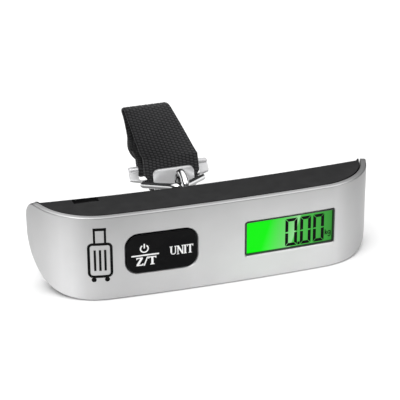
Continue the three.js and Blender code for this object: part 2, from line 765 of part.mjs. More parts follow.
function buildStrap() {
  const first = strapLine();
  const line = [...first.points, ...strapReturn(first)];
  const curve = new THREE.CatmullRomCurve3(line, false, 'centripetal');
  const steps = 110;
  const rings = [];
  for (let i = 0; i <= steps; i += 1) {
    const p = curve.getPointAt(i / steps);
    const t = curve.getTangentAt(i / steps);
    const n = V(0, -t.z, t.y);
    const h = STRAP_THICKNESS / 2;
    // gathered where it passes between the ring's side bars
    const near = THREE.MathUtils.smoothstep(Math.hypot(p.y, p.z), 3.4, 8);
    const w = THREE.MathUtils.lerp(STRAP_PINCH, STRAP_WIDTH, near) / 2;
    const corner = (x, k) => strapBend(V(x, p.y + n.y * k, p.z + n.z * k)).applyMatrix4(tail);
    rings.push([corner(-w, -h), corner(w, -h), corner(w, h), corner(-w, h)]);
  }
  return solid(loft(rings));
}

// Flat outline of the hook laid out along its length, then bent to a J.
function buildHook() {
  const r = RING_ROD + GAP + STRAP_THICKNESS + 0.7;
  const mid = r + HOOK_THICKNESS / 2;
  const bar = V(0, HOOK_BAR.y, HOOK_BAR.z);
  const h = HOOK_THICKNESS / 2;
  // side line: from the slot bar, down under the ring's bar, up to the tip
  const line = [];
  const entry = rad(-62);
  const start = V(0, mid * Math.cos(entry), mid * Math.sin(entry));
  for (let i = 0; i < 4; i += 1) line.push(bar.clone().lerp(start, i / 4));
  for (let i = 0; i <= 10; i += 1) {
    const a = entry - i / 10 * (Math.PI + entry);
    line.push(V(0, mid * Math.cos(a), mid * Math.sin(a)));
  }
  line.push(V(0, -mid + 0.1, HOOK_TIP_HEIGHT * 0.5));
  line.push(V(0, -mid + 0.3, HOOK_TIP_HEIGHT));
  const curve = new THREE.CatmullRomCurve3(line, false, 'centripetal');
  const steps = 36;
  const length = curve.getLength();
  const slotLength = 5.4;
  const rings = [];
  for (let i = 0; i <= steps; i += 1) {
    const p = curve.getPointAt(i / steps);
    const t = curve.getTangentAt(i / steps);
    const n = V(0, -t.z, t.y);
    const d = i / steps * length;
    const neck = THREE.MathUtils.smoothstep(d, slotLength - 0.6, slotLength + 2.2);
    const left = length - d;
    const round = left < 2.4 ? 2.4 - Math.sqrt(Math.max(0, 2.4 ** 2 - (2.4 - left) ** 2)) : 0;
    const w = THREE.MathUtils.lerp(HOOK_WIDTH / 2, HOOK_TIP_WIDTH / 2, neck) - round;
    const corner = (x, k) => tailPoint(x, p.y + n.y * k, p.z + n.z * k);
    rings.push([corner(-w, -h), corner(w, -h), corner(w, h), corner(-w, h)]);
  }
  let hook = solid(loft(rings));
  // slot for the webbing
  const way = start.clone().sub(bar).normalize();
  const slot = new THREE.BoxGeometry(HOOK_SLOT, 4.1, 8);
  const basis = new THREE.Matrix4().makeBasis(V(1, 0, 0), way, V(1, 0, 0).cross(way));
  basis.setPosition(bar.clone().addScaledVector(way, RING_ROD + 2.05));
  slot.applyMatrix4(basis);
  slot.applyMatrix4(tail);
  hook = hook.subtract(solid(slot));
  const rod = new THREE.CylinderGeometry(RING_ROD, RING_ROD, HOOK_WIDTH, 16);
  rod.rotateZ(Math.PI / 2);
  rod.translate(bar.x, bar.y, bar.z);
  rod.applyMatrix4(tail);
  return hook.add(solid(rod));
}

// ------------------------------------------------------------------ assembly

const blank = housingBlank();

place('front_shell', buildFrontShell(), SILVER);
place('rear_housing', buildRearHousing(blank), BLACK);
place('battery_door', buildBatteryDoor(blank), BLACK);
place('keypad_rocker', buildKeypad(), GLOSS_BLACK);
buildDisplay();
place('circuit_board', buildBoard(), BOARD_GREEN);
place('controller_chip', box(36, 43, -5.4, -4.4, 14, 21), DARK);
place('switch_power', buildSwitch(KEY_S[0]), DARK);
place('switch_unit', buildSwitch(KEY_S[1]), DARK);
place('plunger_power', buildPlunger(KEY_S[0]), GLOSS_BLACK);
place('plunger_unit', buildPlunger(KEY_S[1]), GLOSS_BLACK);

place('load_cell', buildBeam(), ALUMINIUM);
place('strain_gauge', box(4.5, 11.5, -2.4, -2.1, 26.5, 31.5), FILM);
place('cell_screw_inner', buildBeamScrew(BEAM_SCREWS[0]), STEEL);
place('cell_screw_outer', buildBeamScrew(BEAM_SCREWS[1]), STEEL);
place('sensor_cable', buildCable(), FILM);
const bush = rodY(EYE_X, EYE_Z, 4.3, 8, 11.6).add(rodY(EYE_X, EYE_Z, 5.6, 11.3, 12));
place('eye_bush', bush.subtract(rodY(EYE_X, EYE_Z, 2.3, 0, 20)), RUBBER);
const washer = rodY(EYE_X, EYE_Z, 4.5, -2.9, -2.1);
place('eye_washer', washer.subtract(rodY(EYE_X, EYE_Z, 2.3, -10, 0)), STEEL);
place('eye_nut', buildNut(), STEEL);
place('load_eye', buildEye(), CHROME);

place('battery_tray', buildTray(), DARK);
place('coin_cell', rodY(CELL_X, CELL_Z, CELL_RADIUS, CELL_Y1 - CELL_THICKNESS, CELL_Y1, 36), STEEL);
place('contact_positive', buildPositiveContact(), STEEL);
place('contact_negative', buildNegativeContact(), STEEL);
place('battery_wire_positive', buildWire([
  V(CELL_X + 2, 2, 30.2), V(CELL_X + 6, -1, 29), V(-41, -3, 26.5), V(-39, -5.1, 25),
]), RED);
place('battery_wire_negative', buildWire([
  V(CELL_X + 1, 2.6, 12.4), V(CELL_X + 6, -0.5, 12), V(-42, -3, 12.4), V(-39, -5.1, 13),
]), DARK);
SCREWS.forEach(([x, z], i) => {
  place(`case_screw_${i + 1}`, buildCaseScrew(x, z), STEEL);
});

place('ring', buildRing(), CHROME);
place('strap', buildStrap(), WEBBING);
place('hook', buildHook(), CHROME);

export default group;
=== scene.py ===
"""Looks of the digital luggage scale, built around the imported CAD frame."""

import math

import bmesh
import bpy
import numpy as np
from mathutils import Matrix, Vector


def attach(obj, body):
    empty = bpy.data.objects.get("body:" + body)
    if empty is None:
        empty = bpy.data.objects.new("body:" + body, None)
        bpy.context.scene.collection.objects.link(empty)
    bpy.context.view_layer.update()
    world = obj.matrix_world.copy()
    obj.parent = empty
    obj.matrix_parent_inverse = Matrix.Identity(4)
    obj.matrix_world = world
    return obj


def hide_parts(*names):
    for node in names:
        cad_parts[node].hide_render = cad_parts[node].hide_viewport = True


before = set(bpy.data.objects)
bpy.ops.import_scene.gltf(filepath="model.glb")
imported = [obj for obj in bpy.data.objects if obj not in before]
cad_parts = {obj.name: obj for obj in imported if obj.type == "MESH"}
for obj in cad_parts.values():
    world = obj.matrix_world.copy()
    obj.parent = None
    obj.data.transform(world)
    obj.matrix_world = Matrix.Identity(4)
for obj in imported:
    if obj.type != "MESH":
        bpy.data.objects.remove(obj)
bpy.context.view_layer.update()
scene = bpy.context.scene
rad = math.radians
MM = 0.001

# ------------------------------------------------------------------ camera

# fitted to the outline seen in the photo
FOCAL = 144.0
SENSOR = 36.0
YAW = rad(18.238)
ELEVATION = rad(24.569)
DISTANCE = 657.0
AIM = Vector((0, -3.58, 37))
SHIFT_X = -0.03475
SHIFT_Y = -0.01775
view = Vector((
    math.sin(YAW) * math.cos(ELEVATION),
    math.cos(YAW) * math.cos(ELEVATION),
    -math.sin(ELEVATION),
))
camera_data = bpy.data.cameras.new("camera")
camera_data.lens = FOCAL
camera_data.sensor_width = SENSOR
camera_data.shift_x = SHIFT_X
camera_data.shift_y = SHIFT_Y
camera = bpy.data.objects.new("camera", camera_data)
scene.collection.objects.link(camera)
camera.location = (AIM - view * DISTANCE) * MM
camera.rotation_euler = view.to_track_quat("-Z", "Y").to_euler()
scene.camera = camera

# ------------------------------------------- dimensions of the design, in mm

FACE_Y = -14.0
FACE_RADIUS = 900.0
FACE_HALF_ARC = 46.8
CORNER_RADIUS = 28.3
WRAP = rad(70)
HALF_LENGTH = 88.9
HOUSING_HALF = 86.4
HEIGHT = 37.0
WALL = 2.5
GAP = 0.3
TOP_CORNER = 6.0
LOW_CORNER_X = 36.0
LOW_CORNER_Z = 25.0
LOW_CORNER_POWER = 2.35
REAR_Y = 10.9
REAR_RADIUS = 827.0
REAR_EDGE = 4.8
TOP_STEP = 0.35
COVER_DEPTH = 1.3
WINDOW = {"s": 30.45, "z": 18.8, "w": 40.1, "h": 15.5, "r": 1.0}
KEYPAD = {"s": -25.45, "z": 19.1, "w": 29.7, "h": 17.0, "r": 5.2}


def clamp(value, low, high):
    return max(low, min(high, value))


def blend(value, start, width):
    """0 before start, 1 after start + width, eased in between."""
    u = clamp((value - start) / width, 0, 1)
    return u * u * (3 - 2 * u)


def face_line(s):
    """x, y and turning angle of the face's bend at arc length s from its middle."""
    a = abs(s)
    side = -1 if s < 0 else 1
    start = FACE_HALF_ARC / FACE_RADIUS
    arc_end = FACE_HALF_ARC + (WRAP - start) * CORNER_RADIUS
    turn = a / FACE_RADIUS
    x = FACE_RADIUS * math.sin(turn)
    y = FACE_RADIUS * (1 - math.cos(turn))
    if a > FACE_HALF_ARC:
        turn = min(start + (a - FACE_HALF_ARC) / CORNER_RADIUS, WRAP)
        x = FACE_RADIUS * math.sin(start) + CORNER_RADIUS * (math.sin(turn) - math.sin(start))
        y = FACE_RADIUS * (1 - math.cos(start)) + CORNER_RADIUS * (math.cos(start) - math.cos(turn))
        straight = max(0, a - arc_end)
        x += straight * math.cos(WRAP)
        y += straight * math.sin(WRAP)
    return side * x, FACE_Y + y, side * turn


def face_point(s, z, depth):
    x, y, turn = face_line(s)
    return Vector((x - depth * math.sin(turn), y + depth * math.cos(turn), z))


def face_low(s):
    """Height of the face's lower edge, which rises at both ends."""
    u = (abs(s) - (HALF_LENGTH - LOW_CORNER_X)) / LOW_CORNER_X
    if u <= 0:
        return 0.0
    v = max(0.0, 1 - min(u, 1) ** LOW_CORNER_POWER) ** (1 / LOW_CORNER_POWER)
    return LOW_CORNER_Z * (1 - v)


def face_high(s):
    """Height of the face's upper edge, rounded at both ends."""
    u = (abs(s) - (HALF_LENGTH - TOP_CORNER)) / TOP_CORNER
    if u <= 0:
        return HEIGHT
    return HEIGHT - TOP_CORNER * (1 - math.sqrt(max(0.0, 1 - min(u, 1) ** 2)))


def stations(limit):
    """Arc lengths at which the sections lie, denser towards the ends."""
    half = [0, 4, 8, 12, 16, 20, 24, 28, 32, 36, 40, 44, 47, 50]
    corner_steps = 56
    for i in range(corner_steps + 1):
        u = math.sin(i / corner_steps * math.pi / 2)
        half.append(HALF_LENGTH - LOW_CORNER_X + LOW_CORNER_X * u)
    kept = [s for s in half if s < limit - 0.02] + [limit]
    return [-s for s in reversed(kept[1:])] + kept


def rear_y(x):
    return REAR_Y + x * x / (2 * REAR_RADIUS)


# ------------------------------------------------------------- mesh helpers

def new_object(name, verts, faces, angle=35):
    """A mesh object from points in millimetres."""
    mesh = bpy.data.meshes.new(name)
    mesh.from_pydata([tuple(Vector(v) * MM) for v in verts], [], faces)
    obj = bpy.data.objects.new(name, mesh)
    scene.collection.objects.link(obj)
    tidy_normals(obj, angle)
    return obj


def tidy_normals(obj, angle=35):
    bm = bmesh.new()
    bm.from_mesh(obj.data)
    bmesh.ops.remove_doubles(bm, verts=bm.verts, dist=1e-7)
    bmesh.ops.recalc_face_normals(bm, faces=bm.faces)
    bm.to_mesh(obj.data)
    bm.free()
    obj.data.polygons.foreach_set("use_smooth", [True] * len(obj.data.polygons))
    obj.data.set_sharp_from_angle(angle=rad(angle))


def loft(rings, closed=False):
    """Points and faces of a tube through equal rings; open ends are capped."""
    verts = [v for ring in rings for v in ring]
    n = len(rings[0])
    faces = []
    count = len(rings)
    for i in range(count if closed else count - 1):
        j = (i + 1) % count
        for k in range(n):
            m = (k + 1) % n
            faces.append((i * n + k, i * n + m, j * n + m, j * n + k))
    if not closed:
        faces.append(tuple(reversed(range(n))))
        faces.append(tuple(range((count - 1) * n, count * n)))
    return verts, faces


def finished(obj, angle=35):
    """Applies the object's modifiers to its mesh."""
    graph = bpy.context.evaluated_depsgraph_get()
    mesh = bpy.data.meshes.new_from_object(obj.evaluated_get(graph))
    obj.modifiers.clear()
    obj.data = mesh
    tidy_normals(obj, angle)
    return obj


def cut(obj, cutters, operation="DIFFERENCE", angle=35):
    for cutter in cutters:
        mod = obj.modifiers.new("cut", "BOOLEAN")
        mod.operation = operation
        mod.solver = "EXACT"
        mod.object = cutter
    finished(obj, angle)
    for cutter in cutters:
        bpy.data.objects.remove(cutter)
    return obj


def join(objects):
    """One mesh from several; the first object keeps it."""
    bm = bmesh.new()
    for obj in objects:
        bm.from_mesh(obj.data)
    bm.to_mesh(objects[0].data)
    bm.free()
    for obj in objects[1:]:
        bpy.data.objects.remove(obj)
    tidy_normals(objects[0])
    return objects[0]


def rounded_rect(w, h, r, steps=10):
    """Corner-rounded outline, counter-clockwise, with points along its sides."""
    points = []
    centres = [(w / 2 - r, h / 2 - r), (-w / 2 + r, h / 2 - r),
               (-w / 2 + r, -h / 2 + r), (w / 2 - r, -h / 2 + r)]
    for q, (cx, cy) in enumerate(centres):
        for i in range(steps + 1):
            a = (q + i / steps) * math.pi / 2
            points.append((cx + r * math.cos(a), cy + r * math.sin(a)))
    dense = []
    for i, p in enumerate(points):
        n = points[(i + 1) % len(points)]
        gap = math.dist(p, n)
        parts = max(1, int(gap / 2.0)) if gap > 2.5 else 1
        for k in range(parts):
            f = k / parts
            dense.append((p[0] + (n[0] - p[0]) * f, p[1] + (n[1] - p[1]) * f))
    return dense


def face_prism(name, at, profile):
    """Solid on the face: profile lists (depth, grow) from outside to inside."""
    rings = []
    for depth, grow in profile:
        w, h = at["w"] + 2 * grow, at["h"] + 2 * grow
        radius = max(0.15, at["r"] + grow)
        outline = rounded_rect(w, h, radius)
        rings.append([face_point(at["s"] + x, at["z"] + z, depth) for x, z in outline])
    return new_object(name, *loft(rings))


def cylinder_y(name, x, z, r, y0, y1):
    turns = [2 * math.pi * i / 48 for i in range(48)]
    rings = [[Vector((x + r * math.cos(a), y, z + r * math.sin(a))) for a in turns]
             for y in (y0, y1)]
    return new_object(name, *loft(rings))


def block(name, x0, x1, y0, y1, z0, z1, bevel=0.0):
    corners = [(x0, z0), (x1, z0), (x1, z1), (x0, z1)]
    rings = [[Vector((x, y, z)) for x, z in corners] for y in (y0, y1)]
    obj = new_object(name, *loft(rings))
    if bevel:
        mod = obj.modifiers.new("bevel", "BEVEL")
        mod.width = bevel * MM
        mod.segments = 3
        finished(obj)
    return obj


def path_tube(name, points, radius, n, plane):
    """Closed round rod along points; plane keeps the section steady."""
    rings = []
    for i, p in enumerate(points):
        t = (points[(i + 1) % len(points)] - points[i - 1]).normalized()
        side = t.cross(plane).normalized()
        up = side.cross(t).normalized()
        rings.append([
            p + side * (radius * math.cos(2 * math.pi * k / n))
            + up * (radius * math.sin(2 * math.pi * k / n)) for k in range(n)])
    return new_object(name, *loft(rings, True), angle=60)


def smooth_line(points, samples):
    """Points evenly spaced along a centripetal Catmull-Rom line."""
    pts = [np.array(p, float) for p in points]
    pts = [2 * pts[0] - pts[1]] + pts + [2 * pts[-1] - pts[-2]]
    out = []
    for i in range(1, len(pts) - 2):
        p0, p1, p2, p3 = pts[i - 1:i + 3]
        d = [max(np.linalg.norm(b - a) ** 0.5, 1e-6) for a, b in ((p0, p1), (p1, p2), (p2, p3))]
        t0, t1 = 0.0, d[0]
        t2, t3 = t1 + d[1], t1 + d[1] + d[2]
        for k in range(24):
            t = t1 + (t2 - t1) * k / 24
            a1 = (t1 - t) / (t1 - t0) * p0 + (t - t0) / (t1 - t0) * p1
            a2 = (t2 - t) / (t2 - t1) * p1 + (t - t1) / (t2 - t1) * p2
            a3 = (t3 - t) / (t3 - t2) * p2 + (t - t2) / (t3 - t2) * p3
            b1 = (t2 - t) / (t2 - t0) * a1 + (t - t0) / (t2 - t0) * a2
            b2 = (t3 - t) / (t3 - t1) * a2 + (t - t1) / (t3 - t1) * a3
            out.append((t2 - t) / (t2 - t1) * b1 + (t - t1) / (t2 - t1) * b2)
    out.append(pts[-2])
    line = np.array(out)
    steps = np.r_[0, np.cumsum(np.linalg.norm(np.diff(line, axis=0), axis=1))]
    at = np.linspace(0, steps[-1], samples + 1)
    even = np.stack([np.interp(at, steps, line[:, k]) for k in range(3)], -1)
    return [Vector(p) for p in even], float(steps[-1])


# ------------------------------------------------------- front shell, housing

def build_front_shell():
    edge = 0.7
    rings = []
    for s in stations(HALF_LENGTH):
        low, high = face_low(s), face_high(s)
        ring = []
        for i in range(6):
            a = i / 5 * math.pi / 2
            ring.append(face_point(
                s, low + edge - edge * math.sin(a), edge - edge * math.cos(a)))
        ring += [face_point(s, low, WALL - 0.2), face_point(s, low + 0.2, WALL)]
        ring += [face_point(s, high - 0.2, WALL), face_point(s, high, WALL - 0.2)]
        for i in range(6):
            a = (5 - i) / 5 * math.pi / 2
            ring.append(face_point(
                s, high - edge + edge * math.sin(a), edge - edge * math.cos(a)))
        rings.append(ring)
    shell = new_object("front_cover", *loft(rings))
    chamfer = [(-1.5, 0.55), (0.0, 0.55), (0.45, 0.0), (4.5, 0.0)]
    pad_edge = [(-1.5, 0.75), (0.0, 0.75), (0.4, 0.3), (4.5, 0.3)]
    return cut(shell, [
        face_prism("window_cut", WINDOW, chamfer),
        face_prism("keypad_cut", KEYPAD, pad_edge),
    ], angle=28)


def housing_ring(x, y_front, y_rear, z0, z1, edge):
    """Section of the housing with two rounded rear edges and a groove on top."""
    r = clamp(edge, 0.2, min((y_rear - y_front) * 0.8, (z1 - z0) * 0.45))
    ring = [Vector((x, y_front, z0))]
    for start, z in ((-90, z0 + r), (0, z1 - r)):
        for i in range(11):
            a = rad(start + 90 * i / 10)
            ring.append(Vector((x, y_rear - r + r * math.cos(a), z + r * math.sin(a))))
    groove, groove_depth = min(0.8, 0.2 * (y_rear - y_front)), 1.2
    ring += [Vector((x, y_front + groove, z1)),
             Vector((x, y_front + groove, z1 - groove_depth)),
             Vector((x, y_front, z1 - groove_depth))]
    return ring


def housing_blank(name):
    rings = []
    for s in stations(HOUSING_HALF):
        front = face_point(s, 0, WALL + GAP)
        rings.append(housing_ring(
            front.x, front.y, rear_y(front.x), face_low(s), face_high(s) - TOP_STEP, REAR_EDGE))
    return new_object(name, *loft(rings))


SCREWS = [(-36, 7.5), (-36, 30.5), (58, 7.5), (58, 30.5)]
EYE = Vector((-6.5, 0, 29))
DOOR = (-63.5, -40.0, 8.5, 29.0)
SCOOP = (-57.0, -46.5, 4.4, 9.6)


def build_housing():
    housing = housing_blank("rear_case")
    top = HEIGHT - TOP_STEP
    x0, x1, z0, z1 = DOOR
    cutters = [
        block("hollow_left", -60, 56, -20, 2, 3, 34.2),
        block("hollow_right", -38, 55, -20, 7.6, 3, 34.2),
        block("door_cut", x0, x1, 3.4, 20, z0, z1, 0.3),
        block("scoop_cut", *SCOOP, top - 2.4, 42, 0.3),
        block("lip_cut", SCOOP[0], SCOOP[1], SCOOP[3] - 0.1, 20, top - 0.5, 42, 0.1),
        cylinder_y("eye_cut", EYE.x, EYE.z, 4.6, 7.6, 20),
    ]
    cutters += [cylinder_y("screw_cut", x, z, 2.4, rear_y(x) - 2, 20) for x, z in SCREWS]
    return cut(housing, cutters, angle=30)


# --------------------------------------------------------------- key pad, LCD

def build_keypad():
    profile = [(2.0, -0.3), (1.7, 0.0)]
    for i in range(6):
        a = i / 5 * math.pi / 2
        profile.append((0.05 - 0.43 * math.sin(a), -0.43 * (1 - math.cos(a))))
    pad = face_prism("key_pad", KEYPAD, profile)
    # the two presser stems on its back
    for s in (-33.0, -18.0):
        x = face_line(s)[0]
        stem = cylinder_y("stem", x, KEYPAD["z"], 1.6, -12.6, -11.2)
        pad = join([pad, stem])
    return pad


def face_plate(name, outlines, depth, thickness):
    """Flat marks on the face from closed outlines of (s, z), each its own island."""
    verts, faces = [], []
    for outline in outlines:
        n = len(outline)
        base = len(verts)
        verts += [face_point(s, z, depth) for s, z in outline]
        verts += [face_point(s, z, depth + thickness) for s, z in outline]
        faces.append(tuple(base + k for k in range(n)))
        faces.append(tuple(base + n + k for k in reversed(range(n))))
        for k in range(n):
            m = (k + 1) % n
            faces.append((base + k, base + n + k, base + n + m, base + m))
    return new_object(name, verts, faces)


def stroke(a, b, width, end=0.0):
    """Outline of a straight stroke from a to b."""
    a, b = Vector(a), Vector(b)
    t = (b - a).normalized()
    n = Vector((-t.y, t.x)) * width / 2
    a, b = a - t * end, b + t * end
    return [tuple(a + n), tuple(a - n), tuple(b - n), tuple(b + n)]


def arc_strokes(cx, cz, r, a0, a1, width, steps=18):
    pts = [(cx + r * math.cos(rad(a0 + (a1 - a0) * i / steps)),
            cz + r * math.sin(rad(a0 + (a1 - a0) * i / steps))) for i in range(steps + 1)]
    return [stroke(pts[i], pts[i + 1], width, 0.02) for i in range(steps)]


def letter(char, x, z, w, h, bold):
    """Outlines of a serif letter in a box with its lower-left corner at (x, z)."""
    thin = bold * 0.55
    serif = bold * 0.45
    out = []

    def stem(cx, z0=0.0, width=None, feet=(True, True)):
        width = width or bold
        out.append(stroke((x + cx * w, z + z0 * h), (x + cx * w, z + h), width))
        reach = width * 0.5 + serif
        for on, level in zip(feet, (z0, 1.0)):
            if on:
                zz = z + level * h + (thin * 0.35 if level < 0.5 else -thin * 0.35)
                out.append(stroke((x + cx * w - reach, zz), (x + cx * w + reach, zz), thin * 0.7))

    if char == "U":
        stem(0.18, 0.3, feet=(False, True))
        stem(0.86, 0.3, width=thin, feet=(False, True))
        cx, r = 0.52, 0.34 * w
        out.extend(arc_strokes(x + cx * w, z + 0.32 * h, r, 180, 360, thin * 1.1))
    elif char == "N":
        stem(0.16, width=thin)
        stem(0.88, width=thin, feet=(False, True))
        out.append(stroke((x + 0.14 * w, z + 0.97 * h), (x + 0.88 * w, z + 0.03 * h), bold))
    elif char == "I":
        stem(0.5)
    elif char == "T":
        stem(0.5, feet=(True, False))
        out.append(stroke((x + 0.02 * w, z + h - thin / 2), (x + 0.98 * w, z + h - thin / 2), thin))
        for k in (0.05, 0.95):
            out.append(stroke((x + k * w, z + h), (x + k * w, z + h * 0.76), thin * 0.8))
    elif char == "Z":
        out.append(stroke((x + 0.08 * w, z + h - thin / 2), (x + 0.92 * w, z + h - thin / 2), thin))
        out.append(stroke((x + 0.06 * w, z + thin / 2), (x + 0.96 * w, z + thin / 2), thin))
        out.append(stroke((x + 0.84 * w, z + h * 0.96), (x + 0.14 * w, z + h * 0.04), bold))
        out.append(stroke((x + 0.1 * w, z + h), (x + 0.1 * w, z + h * 0.76), thin * 0.8))
        out.append(stroke((x + 0.94 * w, z), (x + 0.94 * w, z + h * 0.26), thin * 0.8))
    elif char == "/":
        out.append(stroke((x + 0.1 * w, z - 0.04 * h), (x + 0.9 * w, z + 1.02 * h), thin))
    return out


def build_legends():
    """Power sign over zero and tare on the left key, the unit legend on the right."""
    marks = []
    cx, cz, r = -32.9, 21.4, 1.6
    marks += arc_strokes(cx, cz, r, 125, 415, 0.55)
    marks.append(stroke((cx, cz + 0.1), (cx, cz + 2.15), 0.55))
    marks.append(stroke((-38.3, 18.45), (-26.8, 18.45), 0.62))
    for char, x, w in (("Z", -36.4, 3.0), ("/", -33.3, 1.9), ("T", -31.3, 3.3)):
        marks += letter(char, x, 13.9, w, 3.7, 0.95)
    for char, x, w in (("U", -22.2, 2.7), ("N", -19.3, 2.8), ("I", -16.4, 1.2), ("T", -15.0, 2.6)):
        marks += letter(char, x, 16.9, w, 3.9, 0.72)
    return face_plate("legends", marks, -0.4, 0.03)


def build_pictogram():
    """Generic wheeled suitcase sign in the place of the maker's word."""
    x0, x1, z0, z1, t = -55.6, -46.4, 10.9, 25.4, 1.15
    mid = (x0 + x1) / 2
    corner, wheel, grip_z = 1.6, 1.05, 31.9
    inner = {"x": (x0 + corner, x1 - corner), "z": (z0 + corner, z1 - corner)}
    marks = []
    # level strokes in short lengths, so that they follow the face's bend
    for z, a, b, width in ((z0, *inner["x"], t), (z1, *inner["x"], t),
                           (grip_z, mid - 2.7, mid + 2.7, 1.2)):
        for i in range(8):
            marks.append(stroke((a + (b - a) * i / 8, z), (a + (b - a) * (i + 1.04) / 8, z), width))
    marks += [stroke((x, inner["z"][0]), (x, inner["z"][1]), t) for x in (x0, x1)]
    for i, k, a0 in ((1, 1, 0), (0, 1, 90), (0, 0, 180), (1, 0, 270)):
        marks += arc_strokes(inner["x"][i], inner["z"][k], corner, a0, a0 + 90, t, 6)
    for x in (mid - 2.1, mid, mid + 2.1):
        marks.append(stroke((x, z0 + 2.6), (x, z1 - 2.6), 0.95))
    for x in (mid - 2.2, mid + 2.2):
        marks.append(stroke((x, z1), (x, 31.6), 0.9))
    for x in (x0 + 1.9, x1 - 1.9):
        turns = [k * math.pi / 8 for k in range(16)]
        marks.append([(x + wheel * math.cos(a), 9.5 + wheel * math.sin(a)) for a in turns])
    return face_plate("suitcase_sign", marks, -0.03, 0.05)


def segment(x, z, w, h, t, which):
    """Outline of one bar of a seven-segment digit."""
    m = z + h / 2
    g = 0.22
    bars = {
        "a": [(x + g, z + h), (x + w - g, z + h), (x + w - t, z + h - t), (x + t, z + h - t)],
        "d": [(x + t, z + t), (x + w - t, z + t), (x + w - g, z), (x + g, z)],
        "f": [(x, z + h - g), (x + t, z + h - t - g), (x + t, m + t * 0.3), (x, m + g)],
        "b": [(x + w - t, z + h - t - g), (x + w, z + h - g), (x + w, m + g),
              (x + w - t, m + t * 0.3)],
        "e": [(x, m - g), (x + t, m - t * 0.3), (x + t, z + t + g), (x, z + g)],
        "c": [(x + w - t, m - t * 0.3), (x + w, m - g), (x + w, z + g), (x + w - t, z + t + g)],
    }
    return bars[which]


def build_digits():
    marks = []
    z, h, t = 12.1, 12.6, 1.35
    for x, w in ((28.4, 5.4), (35.1, 4.9), (41.0, 5.0)):
        marks += [segment(x, z, w, h, t, k) for k in "abcdef"]
    marks.append([(34.0, z), (35.0, z), (35.0, z + 1.35), (34.0, z + 1.35)])
    # unit sign, small upright strokes and bowls
    x, zz = 46.5, 14.6
    marks.append(stroke((x + 0.15, zz), (x + 0.15, zz + 2.3), 0.42))
    marks.append(stroke((x + 0.2, zz + 0.65), (x + 0.95, zz + 1.5), 0.4))
    marks.append(stroke((x + 0.45, zz + 0.95), (x + 1.05, zz), 0.4))
    marks += arc_strokes(x + 2.0, zz + 0.85, 0.62, 0, 360, 0.4, 14)
    marks.append(stroke((x + 2.68, zz + 1.55), (x + 2.68, zz - 0.35), 0.4))
    marks += arc_strokes(x + 2.1, zz - 0.35, 0.58, 200, 360, 0.4, 8)
    return face_plate("display_digits", marks, COVER_DEPTH - 0.08, 0.06)


def face_sheet(name, w, h, depth, thickness):
    """Block that follows the face's bend, behind the middle of the window."""
    at = WINDOW
    columns, rows = 40, 16
    verts, faces = [], []
    for d in (depth, depth + thickness):
        for j in range(rows + 1):
            for i in range(columns + 1):
                s = at["s"] - w / 2 + w * i / columns
                verts.append(face_point(s, at["z"] - h / 2 + h * j / rows, d))
    n = columns + 1
    half = n * (rows + 1)
    for j in range(rows):
        for i in range(columns):
            a = j * n + i
            faces.append((a, a + 1, a + n + 1, a + n))
            faces.append((half + a, half + a + n, half + a + n + 1, half + a + 1))
    edge = list(range(n)) + [j * n + columns for j in range(1, rows + 1)]
    edge += [rows * n + i for i in range(columns - 1, -1, -1)]
    edge += [j * n for j in range(rows - 1, 0, -1)]
    for k, a in enumerate(edge):
        b = edge[(k + 1) % len(edge)]
        faces.append((a, half + a, half + b, b))
    return new_object(name, verts, faces)


# ------------------------------------------------------- eye, ring and hook

EYE_LOOP_Y = 19.6
EYE_HALF_Y = 5.6
EYE_HALF_Z = 7.8
EYE_ROD = 1.6
RING_ROD = 1.5
RING_HALF = 14.6
BAR = Vector((-3.9, 43, 23.5))
TAIL = Matrix.Translation(BAR) @ Matrix.Rotation(rad(-6), 4, "Z") @ Matrix.Rotation(rad(-3), 4, "Y")


def tail_point(x, y, z):
    return TAIL @ Vector((x, y, z))


def build_eye():
    """Oval chrome loop with its shank."""
    points = []
    for start, level in ((0, EYE_HALF_Z - EYE_HALF_Y), (180, EYE_HALF_Y - EYE_HALF_Z)):
        for i in range(25):
            a = rad(start + 180 * i / 24)
            points.append(Vector((
                EYE.x,
                EYE_LOOP_Y + EYE_HALF_Y * math.cos(a),
                EYE.z + level + EYE_HALF_Y * math.sin(a))))
    loop = path_tube("eye", points, EYE_ROD, 28, Vector((1, 0, 0)))
    near = EYE_LOOP_Y - EYE_HALF_Y
    profile = [(-5.3, 1.7), (-5.0, 2.0), (9.2, 2.0), (10.4, 2.0), (11.4, 2.25), (near - 0.4, 2.6),
               (near + 0.3, 1.7)]
    rings = [[Vector((EYE.x + r * math.cos(2 * math.pi * k / 32), y,
                      EYE.z + r * math.sin(2 * math.pi * k / 32))) for k in range(32)]
             for y, r in profile]
    stem = new_object("eye_stem", *loft(rings))
    return cut(loop, [stem], "UNION", angle=50)


def rounded_loop(corners, radii):
    """Points of a closed polygon with its corners rounded."""
    points = []
    for i, corner in enumerate(corners):
        a = (corners[i - 1] - corner).normalized()
        b = (corners[(i + 1) % len(corners)] - corner).normalized()
        half = math.acos(clamp(a.dot(b), -1, 1)) / 2
        reach = radii[i] / math.tan(half)
        centre = corner + (a + b).normalized() * (radii[i] / math.sin(half))
        start, end = corner + a * reach - centre, corner + b * reach - centre
        sweep = start.angle(end)
        for k in range(17):
            f = k / 16
            p = start * (math.sin((1 - f) * sweep) / math.sin(sweep))
            p = p + end * (math.sin(f * sweep) / math.sin(sweep))
            points.append(centre + p)
    return points


